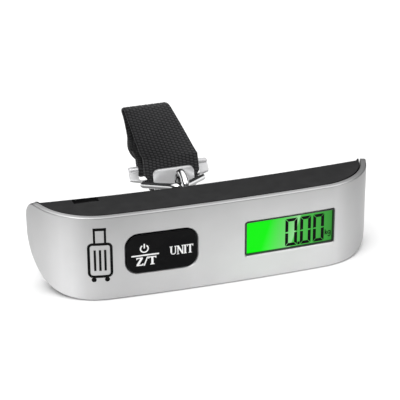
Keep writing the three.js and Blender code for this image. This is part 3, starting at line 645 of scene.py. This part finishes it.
def build_ring():
    """Triangle with rounded corners; its apex lies on the eye's far leg."""
    left, right = tail_point(-RING_HALF, 0, 0), tail_point(RING_HALF, 0, 0)
    bend = EYE_ROD + GAP + 0.1 + RING_ROD
    leg = Vector((EYE.x, EYE_LOOP_Y + EYE_HALF_Y, EYE.z))
    way = leg - BAR
    reach = bend * 2
    for _ in range(4):
        reach = bend / math.sin(math.atan(RING_HALF / (way.length + reach)))
    apex = leg + way.normalized() * reach
    normal = (right - left).cross(apex - left).normalized()
    points = rounded_loop([left, right, apex], [2.2, 2.2, bend])
    return path_tube("link_ring", points, RING_ROD, 24, normal)


HOOK_BAR = Vector((0, 10.2, 2.5))
HOOK_HALF = 17.75
HOOK_NECK_HALF = 9.0
HOOK_CORNER = 2.4
HOOK_THICK = 1.6
STRAP_THICK = 1.6


def build_hook():
    """Bent plate round the ring's bar, with a slot and a rod for the webbing."""
    radius = RING_ROD + GAP + STRAP_THICK + 0.7
    mid = radius + HOOK_THICK / 2
    entry = rad(-62)
    start = Vector((0, mid * math.cos(entry), mid * math.sin(entry)))
    line = [HOOK_BAR.lerp(start, i / 4) for i in range(4)]
    for i in range(11):
        a = entry - i / 10 * (math.pi + entry)
        line.append(Vector((0, mid * math.cos(a), mid * math.sin(a))))
    line += [Vector((0, -mid + 0.1, 4.0)), Vector((0, -mid + 0.3, 8.0))]
    steps = 110
    points, length = smooth_line(line, steps)
    rings = []
    edge, h = 0.35, HOOK_THICK / 2
    for i in range(steps + 1):
        p = points[i]
        t = (points[min(i + 1, steps)] - points[max(i - 1, 0)]).normalized()
        n = Vector((0, -t.z, t.y))
        d = i / steps * length
        neck = blend(d, 4.8, 2.8)
        left = length - d
        inward = max(0, HOOK_CORNER - left)
        cut_in = HOOK_CORNER - math.sqrt(max(0, HOOK_CORNER ** 2 - inward ** 2))
        w = HOOK_HALF + (HOOK_NECK_HALF - HOOK_HALF) * neck - cut_in
        thin = h if left > 0.3 else h - 0.3 * (1 - left / 0.3)
        section = []
        for cx, cn, a0 in ((1, 1, 0), (-1, 1, 90), (-1, -1, 180), (1, -1, 270)):
            for k in range(5):
                a = rad(a0 + 90 * k / 4)
                section.append(((w - edge) * cx + edge * math.cos(a),
                                (thin - edge) * cn + edge * math.sin(a)))
        rings.append([tail_point(x, p.y + n.y * k, p.z + n.z * k) for x, k in section])
    hook = new_object("plate_hook", *loft(rings), angle=50)
    way = (start - HOOK_BAR).normalized()
    across = Vector((1, 0, 0)).cross(way)
    outline = rounded_rect(27.4, 4.1, 1.0, 6)
    middle = HOOK_BAR + way * (RING_ROD + 2.05)
    slot_rings = [
        [TAIL @ (middle + Vector((1, 0, 0)) * x + way * y + across * level) for x, y in outline]
        for level in (-4, 4)]
    slot = new_object("slot_cut", *loft(slot_rings))
    ends = [(-HOOK_HALF, 0.9), (-17.4, 1.3), (-16.9, RING_ROD), (16.9, RING_ROD), (17.4, 1.3),
            (HOOK_HALF, 0.9)]
    rod_rings = [
        [TAIL @ (HOOK_BAR + Vector((x, r * math.cos(2 * math.pi * k / 24),
                                    r * math.sin(2 * math.pi * k / 24)))) for k in range(24)]
        for x, r in ends]
    rod = new_object("hook_rod", *loft(rod_rings))
    cut(hook, [slot], angle=50)
    return cut(hook, [rod], "UNION", angle=50)


# ------------------------------------------------------------------ webbing

SLOPE = rad(68)
STRAP_LENGTH = 34.4
STRAP_TWIST = rad(29)
STRAP_LEAN = -8.9
TWIST_START = 10.8
FOLD = 1.15
ALONG = Vector((0, math.cos(SLOPE), math.sin(SLOPE)))
OUT = Vector((0, -math.sin(SLOPE), math.cos(SLOPE)))


def strap_line():
    """The strip's middle line in the tail's frame: ring's bar, fold, hook's bar."""
    r = RING_ROD + GAP + STRAP_THICK / 2
    pitch = STRAP_THICK + 0.25
    at = lambda u, v: ALONG * u + OUT * v
    points = [at(11, r - pitch), at(8, r - pitch - 0.1), at(5.2, r - pitch - 0.9),
              at(3.1, -r * 0.62)]
    for i in range(11):
        a = rad(-68 - i / 10 * 202)
        points.append(at(r * math.cos(a), r * math.sin(a)))
    top = STRAP_LENGTH - FOLD - STRAP_THICK / 2
    for i in range(1, 9):
        points.append(at(top * i / 8, r + 0.8 * math.sin(i / 8 * math.pi)))
    for i in range(1, 8):
        a = i / 8 * math.pi
        points.append(at(top + FOLD * math.sin(a), r - FOLD + FOLD * math.cos(a)))
    # the back leg hugs the front one, then bows out to the hook's bar
    points += [at(top, r - FOLD * 2), at(top - 5, r - FOLD * 2 - 0.1), at(21, -1.2),
               at(18.5, -4.0), at(15.5, -8.3), at(12, -11.4), at(8.5, -12.0)]
    bar_u, bar_v = HOOK_BAR.dot(ALONG), HOOK_BAR.dot(OUT)
    for i in range(11):
        a = rad(-104 - i / 10 * 206)
        points.append(at(bar_u + r * math.cos(a), bar_v + r * math.sin(a)))
    points += [at(10.2, -6.5), at(12.6, -5.3), at(15, -3.5)]
    return points


def strap_bend(point):
    """Twists and leans the loop more and more towards its fold."""
    height = point.dot(ALONG)
    f = clamp((height - TWIST_START) / (STRAP_LENGTH - TWIST_START), 0, 1)
    ease = f ** 0.85
    axis = ALONG * height
    p = Matrix.Rotation(STRAP_TWIST * ease, 3, ALONG) @ (point - axis) + axis
    p.x += STRAP_LEAN * ease
    return p


RIBS = 14
ROW = 1.24
STEPS_PER_ROW = 5
WIDTH_AT_RING = 21.4
WEBBING_WIDTH = 24.2
BACK_LEG_ASIDE = -1.4
EDGE_ROUND = 0.5
# the seam's place along the strip, as parts of its length, and half its width
SEAM_START, SEAM_END = 0.69, 0.76
SEAM_HALF = 8.5


def build_strap():
    """Webbing strip with its ribs and rows in the mesh, their height as "weave"."""
    line = strap_line()
    _, length = smooth_line(line, 10)
    steps = int(length / ROW * STEPS_PER_ROW)
    points, length = smooth_line(line, steps)
    columns = RIBS * 6
    edge_steps = 4
    h = STRAP_THICK / 2 - 0.12
    rings, heights = [], []
    for i in range(steps + 1):
        p = points[i]
        t = (points[min(i + 1, steps)] - points[max(i - 1, 0)]).normalized()
        n = Vector((0, -t.z, t.y))
        spread = blend(math.hypot(p.y, p.z), 2.7, 1.7)
        w = (WIDTH_AT_RING + (WEBBING_WIDTH - WIDTH_AT_RING) * spread) / 2
        aside = BACK_LEG_ASIDE * blend(i / steps, 0.52, 0.16)
        d = i / steps * length
        ring = []
        for side in (1, -1):
            for k in range(columns + 1):
                f = k / columns if side > 0 else 1 - k / columns
                x = (f * 2 - 1) * (w - EDGE_ROUND)
                rib = f * RIBS
                lane = abs(math.sin(rib * math.pi)) ** 0.55
                shift = 0.5 if int(min(rib, RIBS - 0.001)) % 2 else 0.0
                bump = abs(math.sin((d / ROW + shift + 0.22 * (rib % 1)) * math.pi)) ** 0.7
                height = (0.5 + 0.5 * lane) * (0.15 + 0.85 * bump)
                ring.append((x, side * (h - 0.22 + 0.34 * height)))
                heights.append(height)
            for k in range(1, edge_steps):
                a = math.pi * k / edge_steps
                x = w - EDGE_ROUND + EDGE_ROUND * math.sin(a)
                ring.append((side * x, side * (h - 0.2) * math.cos(a)))
                heights.append(0.35 + 0.5 * abs(math.sin(d / ROW * math.pi)))
        rings.append([TAIL @ strap_bend(Vector((x + aside, p.y + n.y * k, p.z + n.z * k)))
                      for x, k in ring])
    verts, faces = loft(rings)
    strap = new_object("webbing", verts, faces, angle=80)
    weave = strap.data.attributes.new("weave", "FLOAT", "POINT")
    weave.data.foreach_set("value", heights[:len(strap.data.vertices)])
    return strap, length


STRAP_PATH = smooth_line(strap_line(), 600)


def strap_surface(d_from_start, x, lift):
    """A point above the webbing's back leg at a length along it, for stitches."""
    points, length = STRAP_PATH
    steps = len(points) - 1
    i = clamp(d_from_start / length * steps, 0, steps - 1e-6)
    k = int(i)
    p = points[k].lerp(points[k + 1], i - k)
    t = (points[k + 1] - points[k]).normalized()
    n = Vector((0, -t.z, t.y))
    return TAIL @ strap_bend(Vector((x + BACK_LEG_ASIDE, p.y + n.y * lift, p.z + n.z * lift)))


def build_stitches(name, d0, d1, lift, half):
    """Crossed box of short thread stitches that holds two layers together."""
    verts, faces = [], []
    sides = 6
    pitch = 1.7

    def stitch(start, end):
        pa, pb = strap_surface(*start, lift), strap_surface(*end, lift)
        t = (pb - pa).normalized()
        up = (strap_surface(*start, lift + 1) - pa).normalized()
        side = t.cross(up).normalized()
        base = len(verts)
        for f, size in ((0, 0.08), (0.15, 0.16), (0.5, 0.19), (0.85, 0.16), (1, 0.08)):
            p = pa.lerp(pb, f) - up * (0.12 if f in (0, 1) else 0)
            for k in range(sides):
                a = 2 * math.pi * k / sides
                verts.append(p + side * size * math.cos(a) + up * size * math.sin(a))
        for r in range(4):
            for k in range(sides):
                m = (k + 1) % sides
                q = base + r * sides
                faces.append((q + k, q + m, q + sides + m, q + sides + k))
        faces.append(tuple(base + k for k in reversed(range(sides))))
        faces.append(tuple(base + 4 * sides + k for k in range(sides)))

    count = int(half * 2 / pitch)
    for d in (d0, d1):
        for i in range(count):
            x = -half + 2 * half * i / count
            stitch((d, x), (d, x + 2 * half / count * 0.75))
    runs = max(2, int(abs(d1 - d0) / pitch))
    for x0, x1 in ((-half, -half), (half, half), (-half, half), (half, -half)):
        for i in range(runs):
            f, g = i / runs, (i + 0.75) / runs
            stitch((d0 + (d1 - d0) * f, x0 + (x1 - x0) * f),
                   (d0 + (d1 - d0) * g, x0 + (x1 - x0) * g))
    return new_object(name, verts, faces, angle=60)


# ---------------------------------------------------------------- materials

def material(name, color, roughness, metallic=0.0, **sockets):
    mat = bpy.data.materials.new(name)
    mat.use_nodes = True
    shader = mat.node_tree.nodes["Principled BSDF"]
    shader.inputs["Base Color"].default_value = (*color, 1)
    shader.inputs["Roughness"].default_value = roughness
    shader.inputs["Metallic"].default_value = metallic
    for key, value in sockets.items():
        shader.inputs[key.replace("_", " ")].default_value = value
    return mat


def node(mat, kind, **settings):
    made = mat.node_tree.nodes.new(kind)
    for key, value in settings.items():
        if key in made.inputs:
            made.inputs[key].default_value = value
        else:
            setattr(made, key, value)
    return made


def link(mat, source, target):
    mat.node_tree.links.new(source, target)


def position(mat):
    return node(mat, "ShaderNodeTexCoord").outputs["Object"]


def noise(mat, vector, scale, detail=3.0, rough=0.5):
    made = node(mat, "ShaderNodeTexNoise", Scale=scale, Detail=detail, Roughness=rough)
    link(mat, vector, made.inputs["Vector"])
    return made.outputs["Fac"]


def ramp(mat, source, stops, colors=False):
    made = node(mat, "ShaderNodeValToRGB")
    elements = made.color_ramp.elements
    while len(elements) < len(stops):
        elements.new(0.5)
    for element, (at, value) in zip(elements, stops):
        element.position = at
        element.color = (*value, 1) if colors else (value, value, value, 1)
    link(mat, source, made.inputs["Fac"])
    return made.outputs["Color"]


SLOW = 60.0


def principled(mat):
    return mat.node_tree.nodes["Principled BSDF"]


def vary(mat, roughness, color=None, bumps=(), scale=SLOW):
    """Slow roughness and colour changes plus fine relief, all from noise."""
    shader = principled(mat)
    vector = position(mat)
    slow = noise(mat, vector, scale, 4.0)
    link(mat, ramp(mat, slow, [(0.3, roughness[0]), (0.7, roughness[1])]),
         shader.inputs["Roughness"])
    if color:
        other = noise(mat, vector, scale * 3.1, 5.0)
        link(mat, ramp(mat, other, [(0.35, color[0]), (0.65, color[1])], True),
             shader.inputs["Base Color"])
    normal = None
    for size, strength, depth in bumps:
        bump = node(mat, "ShaderNodeBump", Strength=strength, Distance=depth)
        link(mat, noise(mat, vector, size, 2.0), bump.inputs["Height"])
        if normal:
            link(mat, normal, bump.inputs["Normal"])
        normal = bump.outputs["Normal"]
    if normal:
        link(mat, normal, shader.inputs["Normal"])
    return mat


# name: colour, roughness, metallic, range of roughness, range of colour, reliefs (scale,
# strength, depth); then the scale of the slow changes and other sockets, where they differ
FINISHES = {
    "silver": ((0.6, 0.6, 0.61), 0.36, 0.75, (0.34, 0.38),
               ((0.560, 0.560, 0.562), (0.585, 0.585, 0.587)),
               [(5200, 0.10, 0.00003), (900, 0.03, 0.0001)], 22.0),
    "black": ((0.009, 0.009, 0.0095), 0.5, 0.0, (0.42, 0.56),
              ((0.007, 0.007, 0.0075), (0.012, 0.012, 0.0125)),
              [(3200, 0.25, 0.00006)], SLOW, {"Specular_IOR_Level": 0.24}),
    "gloss_black": ((0.003, 0.003, 0.0032), 0.14, 0.0, (0.12, 0.18),
                    ((0.0025, 0.0025, 0.0028), (0.004, 0.004, 0.0042)),
                    [(300, 0.02, 0.0001)], SLOW, {"Specular_IOR_Level": 0.06}),
    "dark": ((0.02, 0.02, 0.022), 0.45, 0.0, (0.4, 0.55),
             ((0.016, 0.016, 0.018), (0.026, 0.026, 0.028)), [(2600, 0.2, 0.00005)]),
    "chrome": ((0.72, 0.73, 0.74), 0.08, 1.0, (0.05, 0.1),
               ((0.69, 0.695, 0.70), (0.76, 0.765, 0.77)),
               [(420, 0.05, 0.0001), (3000, 0.04, 0.00003)], 140.0),
    "plate": ((0.93, 0.93, 0.94), 0.34, 0.35, (0.28, 0.4),
              ((0.91, 0.91, 0.92), (0.95, 0.95, 0.96)),
              [(420, 0.05, 0.0001), (2400, 0.06, 0.00003)], 140.0),
    "steel": ((0.5, 0.51, 0.53), 0.3, 1.0, (0.22, 0.4),
              ((0.46, 0.47, 0.49), (0.56, 0.57, 0.59)), [(1500, 0.1, 0.00005)]),
    "aluminium": ((0.6, 0.61, 0.63), 0.35, 1.0, (0.3, 0.45),
                  ((0.56, 0.57, 0.59), (0.65, 0.66, 0.68)), [(1800, 0.12, 0.00005)]),
    "board": ((0.02, 0.15, 0.05), 0.4, 0.0, (0.35, 0.5),
              ((0.015, 0.12, 0.04), (0.03, 0.19, 0.07)), [(900, 0.1, 0.00005)]),
    "rubber": ((0.02, 0.02, 0.021), 0.75, 0.0, (0.68, 0.82),
               ((0.016, 0.016, 0.017), (0.026, 0.026, 0.027)), [(2200, 0.3, 0.00006)]),
    "film": ((0.45, 0.24, 0.05), 0.35, 0.0, (0.3, 0.45),
             ((0.4, 0.2, 0.04), (0.5, 0.28, 0.07)), [(1500, 0.1, 0.00003)]),
    "red": ((0.4, 0.02, 0.02), 0.4, 0.0, (0.35, 0.5),
            ((0.36, 0.015, 0.015), (0.45, 0.03, 0.03)), [(1500, 0.1, 0.00003)]),
    "print_white": ((0.85, 0.85, 0.85), 0.45, 0.0, (0.4, 0.5),
                    ((0.82, 0.82, 0.82), (0.9, 0.9, 0.9)), [(4000, 0.1, 0.00001)]),
    "print_dark": ((0.003, 0.003, 0.003), 0.4, 0.0, (0.35, 0.45),
                   ((0.002, 0.002, 0.002), (0.004, 0.004, 0.004)),
                   [(4000, 0.1, 0.00001)], SLOW, {"Specular_IOR_Level": 0.06}),
    "thread": ((0.02, 0.02, 0.021), 0.7, 0.0, (0.62, 0.78),
               ((0.015, 0.015, 0.016), (0.03, 0.03, 0.031)),
               [(6000, 0.4, 0.00006)], SLOW, {"Sheen_Weight": 0.3}),
    "glow": ((0.2, 0.85, 0.15), 0.4, 0.0, (0.35, 0.5),
             ((0.16, 0.8, 0.12), (0.25, 0.9, 0.2)), [(1200, 0.1, 0.00003)], SLOW,
             {"Emission_Color": (0.1, 0.9, 0.05, 1), "Emission_Strength": 0.6}),
}


def make_materials():
    made = {}
    for name, (color, rough, metal, roughs, colors, bumps, *more) in FINISHES.items():
        scale, sockets = [*more, *(SLOW, {})[len(more):]]
        made[name] = vary(
            material(name, color, rough, metal, **sockets), roughs, colors, bumps, scale)
    paint_silver_reflection_and_shade(made["silver"])
    # painted reflection on the chrome and the hook's plate, set by which way their faces point
    paint_reflection_by_facing(made["chrome"], [(0.0, 0.35), (0.3, 0.12), (0.46, 0.3), (0.6, 1.0), (1.0, 1.0)])
    paint_reflection_by_facing(made["plate"], [(0.2, 0.3), (0.4, 0.6), (0.47, 1.0), (0.62, 0.95), (0.8, 0.62)])
    made["lcd"] = make_display()
    made["webbing"] = make_webbing()
    return made


def paint_silver_reflection_and_shade(mat):
    """Soft painted reflection bands along the face, and painted shade: deeper at the wrapped ends
    and towards the top edge.
    """
    shader = principled(mat)
    grain = shader.inputs["Base Color"].links[0].from_socket
    coords = node(mat, "ShaderNodeTexCoord")
    split = node(mat, "ShaderNodeSeparateXYZ")
    link(mat, coords.outputs["Object"], split.inputs["Vector"])
    grain_and_painted_light = grain
    # painted reflection bands along X and painted shade towards the top along Z, multiplied into
    # the grain
    for axis, low, high, stops in (
            ("X", -0.075, 0.075, [
                (0.0, 0.76), (0.02, 0.82), (0.045, 1.0), (0.065, 1.08), (0.09, 1.03), (0.125, 0.84),
                (0.165, 0.77), (0.22, 0.77), (0.4, 0.86), (0.6, 0.97), (0.78, 1.0), (0.845, 0.95),
                (0.88, 0.78), (0.915, 0.66), (0.95, 0.58)]),
            ("Z", 0.0, 0.037, [(0.1, 1.18), (0.5, 1.03), (0.95, 0.85)])):
        along = node(mat, "ShaderNodeMapRange")
        along.inputs["From Min"].default_value = low
        along.inputs["From Max"].default_value = high
        link(mat, split.outputs[axis], along.inputs["Value"])
        # a ramp holds values up to 1, so it is stored halved and doubled again
        band = ramp(mat, along.outputs["Result"], [(at, tone / 2) for at, tone in stops])
        scale = node(mat, "ShaderNodeVectorMath", operation="SCALE", Scale=2.0)
        link(mat, band, scale.inputs[0])
        product = node(mat, "ShaderNodeVectorMath", operation="MULTIPLY")
        link(mat, grain_and_painted_light, product.inputs[0])
        link(mat, scale.outputs["Vector"], product.inputs[1])
        grain_and_painted_light = product.outputs["Vector"]
    link(mat, grain_and_painted_light, shader.inputs["Base Color"])


def paint_reflection_by_facing(mat, stops):
    """Painted reflection: deepens metal by which way it faces, most where it faces the floor, as a
    dark studio table would.
    """
    shader = principled(mat)
    grain = shader.inputs["Base Color"].links[0].from_socket
    facing = node(mat, "ShaderNodeNewGeometry")
    split = node(mat, "ShaderNodeSeparateXYZ")
    link(mat, facing.outputs["Normal"], split.inputs["Vector"])
    lift = node(mat, "ShaderNodeMapRange")
    lift.inputs["From Min"].default_value = -1.0
    link(mat, split.outputs["Z"], lift.inputs["Value"])
    product = node(mat, "ShaderNodeVectorMath", operation="MULTIPLY")
    link(mat, grain, product.inputs[0])
    link(mat, ramp(mat, lift.outputs["Result"], stops), product.inputs[1])
    link(mat, product.outputs["Vector"], shader.inputs["Base Color"])


def make_display():
    """Lit panel: vivid at the near side, paler and duller to the far side, with a painted glare
    streak across it.
    """
    mat = material("lcd", (0.002, 0.02, 0.002), 0.16, Emission_Strength=1.0,
                   Specular_IOR_Level=0.06)
    shader = principled(mat)
    coords = node(mat, "ShaderNodeTexCoord")
    split = node(mat, "ShaderNodeSeparateXYZ")
    link(mat, coords.outputs["Object"], split.inputs["Vector"])
    across = node(mat, "ShaderNodeMapRange")
    across.inputs["From Min"].default_value = 0.0105
    across.inputs["From Max"].default_value = 0.0505
    link(mat, split.outputs["X"], across.inputs["Value"])
    glow = ramp(mat, across.outputs["Result"], [
        (0.0, (0.003, 0.90, 0.003)), (0.25, (0.004, 0.88, 0.004)), (0.42, (0.03, 0.64, 0.03)),
        (0.56, (0.08, 0.52, 0.08)), (0.76, (0.06, 0.42, 0.06)), (1.0, (0.035, 0.25, 0.035))], True)
    # painted glare: a pale diagonal streak mixed into the glow
    slant = node(mat, "ShaderNodeVectorMath", operation="DOT_PRODUCT")
    slant.inputs[1].default_value = (1.0, 0.0, -0.34)
    link(mat, coords.outputs["Object"], slant.inputs[0])
    painted_glare = node(mat, "ShaderNodeMapRange")
    painted_glare.inputs["From Min"].default_value = 0.012
    painted_glare.inputs["From Max"].default_value = 0.032
    link(mat, slant.outputs["Value"], painted_glare.inputs["Value"])
    band = ramp(mat, painted_glare.outputs["Result"],
                [(0.05, 0.0), (0.55, 0.3), (0.72, 0.62), (0.75, 0.0)])
    mix = node(mat, "ShaderNodeMix", data_type="RGBA", blend_type="MIX")
    link(mat, band, mix.inputs["Factor"])
    link(mat, glow, mix.inputs["A"])
    mix.inputs["B"].default_value = (0.45, 0.82, 0.45, 1)
    link(mat, mix.outputs["Result"], shader.inputs["Emission Color"])
    return vary(mat, (0.12, 0.2), None, [(1200, 0.02, 0.00003)])


def make_webbing():
    """Black nylon, fine fibres on top; the weave's height paints shade into the gaps, so the yarn
    crowns stand lighter.
    """
    mat = material("webbing", (0.02, 0.02, 0.021), 0.8, Sheen_Weight=0.1, Sheen_Roughness=0.5,
                   Specular_IOR_Level=0.25)
    shader = principled(mat)
    vector = position(mat)
    fibre = noise(mat, vector, 2600.0, 4.0, 0.6)
    # painted shade: the weave's height, with fibre noise, darkens the gaps between the yarns
    weave = node(mat, "ShaderNodeAttribute", attribute_name="weave")
    lift = node(mat, "ShaderNodeMath", operation="MULTIPLY_ADD")
    link(mat, fibre, lift.inputs[0])
    lift.inputs[1].default_value = 0.35
    link(mat, weave.outputs["Fac"], lift.inputs[2])
    link(mat, ramp(mat, lift.outputs["Value"], [
        (0.3, (0.003, 0.003, 0.003)), (0.75, (0.012, 0.012, 0.013)),
        (1.0, (0.04, 0.04, 0.042))], True), shader.inputs["Base Color"])
    slow = noise(mat, vector, 90.0, 3.0)
    link(mat, ramp(mat, slow, [(0.3, 0.62), (0.7, 0.8)]), shader.inputs["Roughness"])
    fine = node(mat, "ShaderNodeBump", Strength=0.5, Distance=0.00008)
    link(mat, fibre, fine.inputs["Height"])
    link(mat, fine.outputs["Normal"], shader.inputs["Normal"])
    return mat


MATERIALS = make_materials()


def dress(obj, body, finish, nodes=()):
    """Gives a piece its material, its body and the CAD nodes it shows."""
    obj.data.materials.clear()
    obj.data.materials.append(MATERIALS[finish])
    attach(obj, body)
    if nodes:
        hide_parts(*nodes)
    return obj


# ----------------------------------------------------------------- assembly

dress(build_front_shell(), "housing", "silver", nodes=["front_shell"])
dress(build_housing(), "housing", "black", nodes=["rear_housing"])
dress(build_pictogram(), "housing", "print_dark")
dress(build_keypad(), "keys", "gloss_black", nodes=["keypad_rocker"])
dress(build_legends(), "keys", "print_white")
panel = join([
    face_sheet("display_panel", WINDOW["w"] - 1.3, WINDOW["h"] - 1.3, COVER_DEPTH, 1.6),
    face_sheet("panel_back", 42.0, 17.6, WALL + GAP, 1.5)])
dress(panel, "housing", "lcd", nodes=["lcd_glass"])
dress(build_digits(), "housing", "print_dark")
dress(build_eye(), "eye", "chrome", nodes=["load_eye"])
dress(build_ring(), "link", "chrome", nodes=["ring"])
dress(build_hook(), "catch", "plate", nodes=["hook"])
webbing, strap_length = build_strap()
dress(webbing, "loop", "webbing", nodes=["strap"])
seam = [strap_length * SEAM_START, strap_length * SEAM_END]
stitches = dress(build_stitches("stitches", *seam, STRAP_THICK / 2, SEAM_HALF), "loop", "thread")

CARRIED = {
    "battery_door": "black", "lcd_frame": "dark", "backlight": "glow", "lcd_connector": "rubber",
    "circuit_board": "board", "controller_chip": "dark", "switch_power": "dark",
    "switch_unit": "dark", "plunger_power": "dark", "plunger_unit": "dark",
    "load_cell": "aluminium", "strain_gauge": "film", "cell_screw_inner": "steel",
    "cell_screw_outer": "steel", "sensor_cable": "film", "eye_bush": "rubber",
    "eye_washer": "steel", "eye_nut": "steel", "battery_tray": "dark", "coin_cell": "steel",
    "contact_positive": "steel", "contact_negative": "steel", "battery_wire_positive": "red",
    "battery_wire_negative": "dark", "case_screw_1": "steel", "case_screw_2": "steel",
    "case_screw_3": "steel", "case_screw_4": "steel",
}
for name, finish in CARRIED.items():
    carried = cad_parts[name]
    carried.data.materials.clear()
    carried.data.materials.append(MATERIALS[finish])
    carried.data.polygons.foreach_set("use_smooth", [True] * len(carried.data.polygons))
    carried.data.set_sharp_from_angle(angle=rad(32))

# ------------------------------------------------------- floor, light, world

floor_mesh = bpy.data.meshes.new("floor")
bm = bmesh.new()
bmesh.ops.create_grid(bm, x_segments=8, y_segments=8, size=6.0)
bm.to_mesh(floor_mesh)
bm.free()
floor = bpy.data.objects.new("floor", floor_mesh)
scene.collection.objects.link(floor)
floor.location = (0, 0, -0.0002)
floor_mat = vary(material("floor", (0.93, 0.93, 0.93), 0.7), (0.62, 0.74),
                 ((0.92, 0.92, 0.92), (0.94, 0.94, 0.94)), scale=4.0)
floor.data.materials.append(floor_mat)


def area(name, location, target, size, power, size_y=None):
    data = bpy.data.lights.new(name, "AREA")
    data.energy = power
    data.size = size
    if size_y:
        data.shape = "RECTANGLE"
        data.size_y = size_y
    obj = bpy.data.objects.new(name, data)
    scene.collection.objects.link(obj)
    obj.location = location
    obj.rotation_euler = (Vector(target) - Vector(location)).to_track_quat("-Z", "Y").to_euler()


area("key", (-0.55, -0.5, 0.85), (0, 0, 0.02), 0.7, 5.0)
area("fill", (0.8, -0.4, 0.7), (0, 0, 0.02), 0.6, 1.8)
area("back", (0.1, 0.9, 0.7), (0, 0, 0.03), 0.8, 0.4, 0.3)

world = bpy.data.worlds.new("studio")
scene.world = world
world.use_nodes = True
tree = world.node_tree
background = tree.nodes["Background"]
coords = tree.nodes.new("ShaderNodeTexCoord")
split = tree.nodes.new("ShaderNodeSeparateXYZ")
sky = tree.nodes.new("ShaderNodeValToRGB")
tree.links.new(coords.outputs["Generated"], split.inputs["Vector"])
tree.links.new(split.outputs["Z"], sky.inputs["Fac"])
sky.color_ramp.elements[0].color = (0.05, 0.05, 0.05, 1)
sky.color_ramp.elements[1].position = 0.9
sky.color_ramp.elements[1].color = (1.75, 1.75, 1.75, 1)
low_sky = sky.color_ramp.elements.new(0.48)
low_sky.color = (0.07, 0.07, 0.072, 1)
mid_sky = sky.color_ramp.elements.new(0.66)
mid_sky.color = (1.1, 1.1, 1.1, 1)
paths = tree.nodes.new("ShaderNodeLightPath")
seen = tree.nodes.new("ShaderNodeMix")
seen.data_type = "RGBA"
tree.links.new(paths.outputs["Is Camera Ray"], seen.inputs["Factor"])
tree.links.new(sky.outputs["Color"], seen.inputs["A"])
seen.inputs["B"].default_value = (1.0, 1.0, 1.0, 1)
tree.links.new(seen.outputs["Result"], background.inputs["Color"])
scene.view_settings.view_transform = "Standard"
scene.view_settings.look = "None"
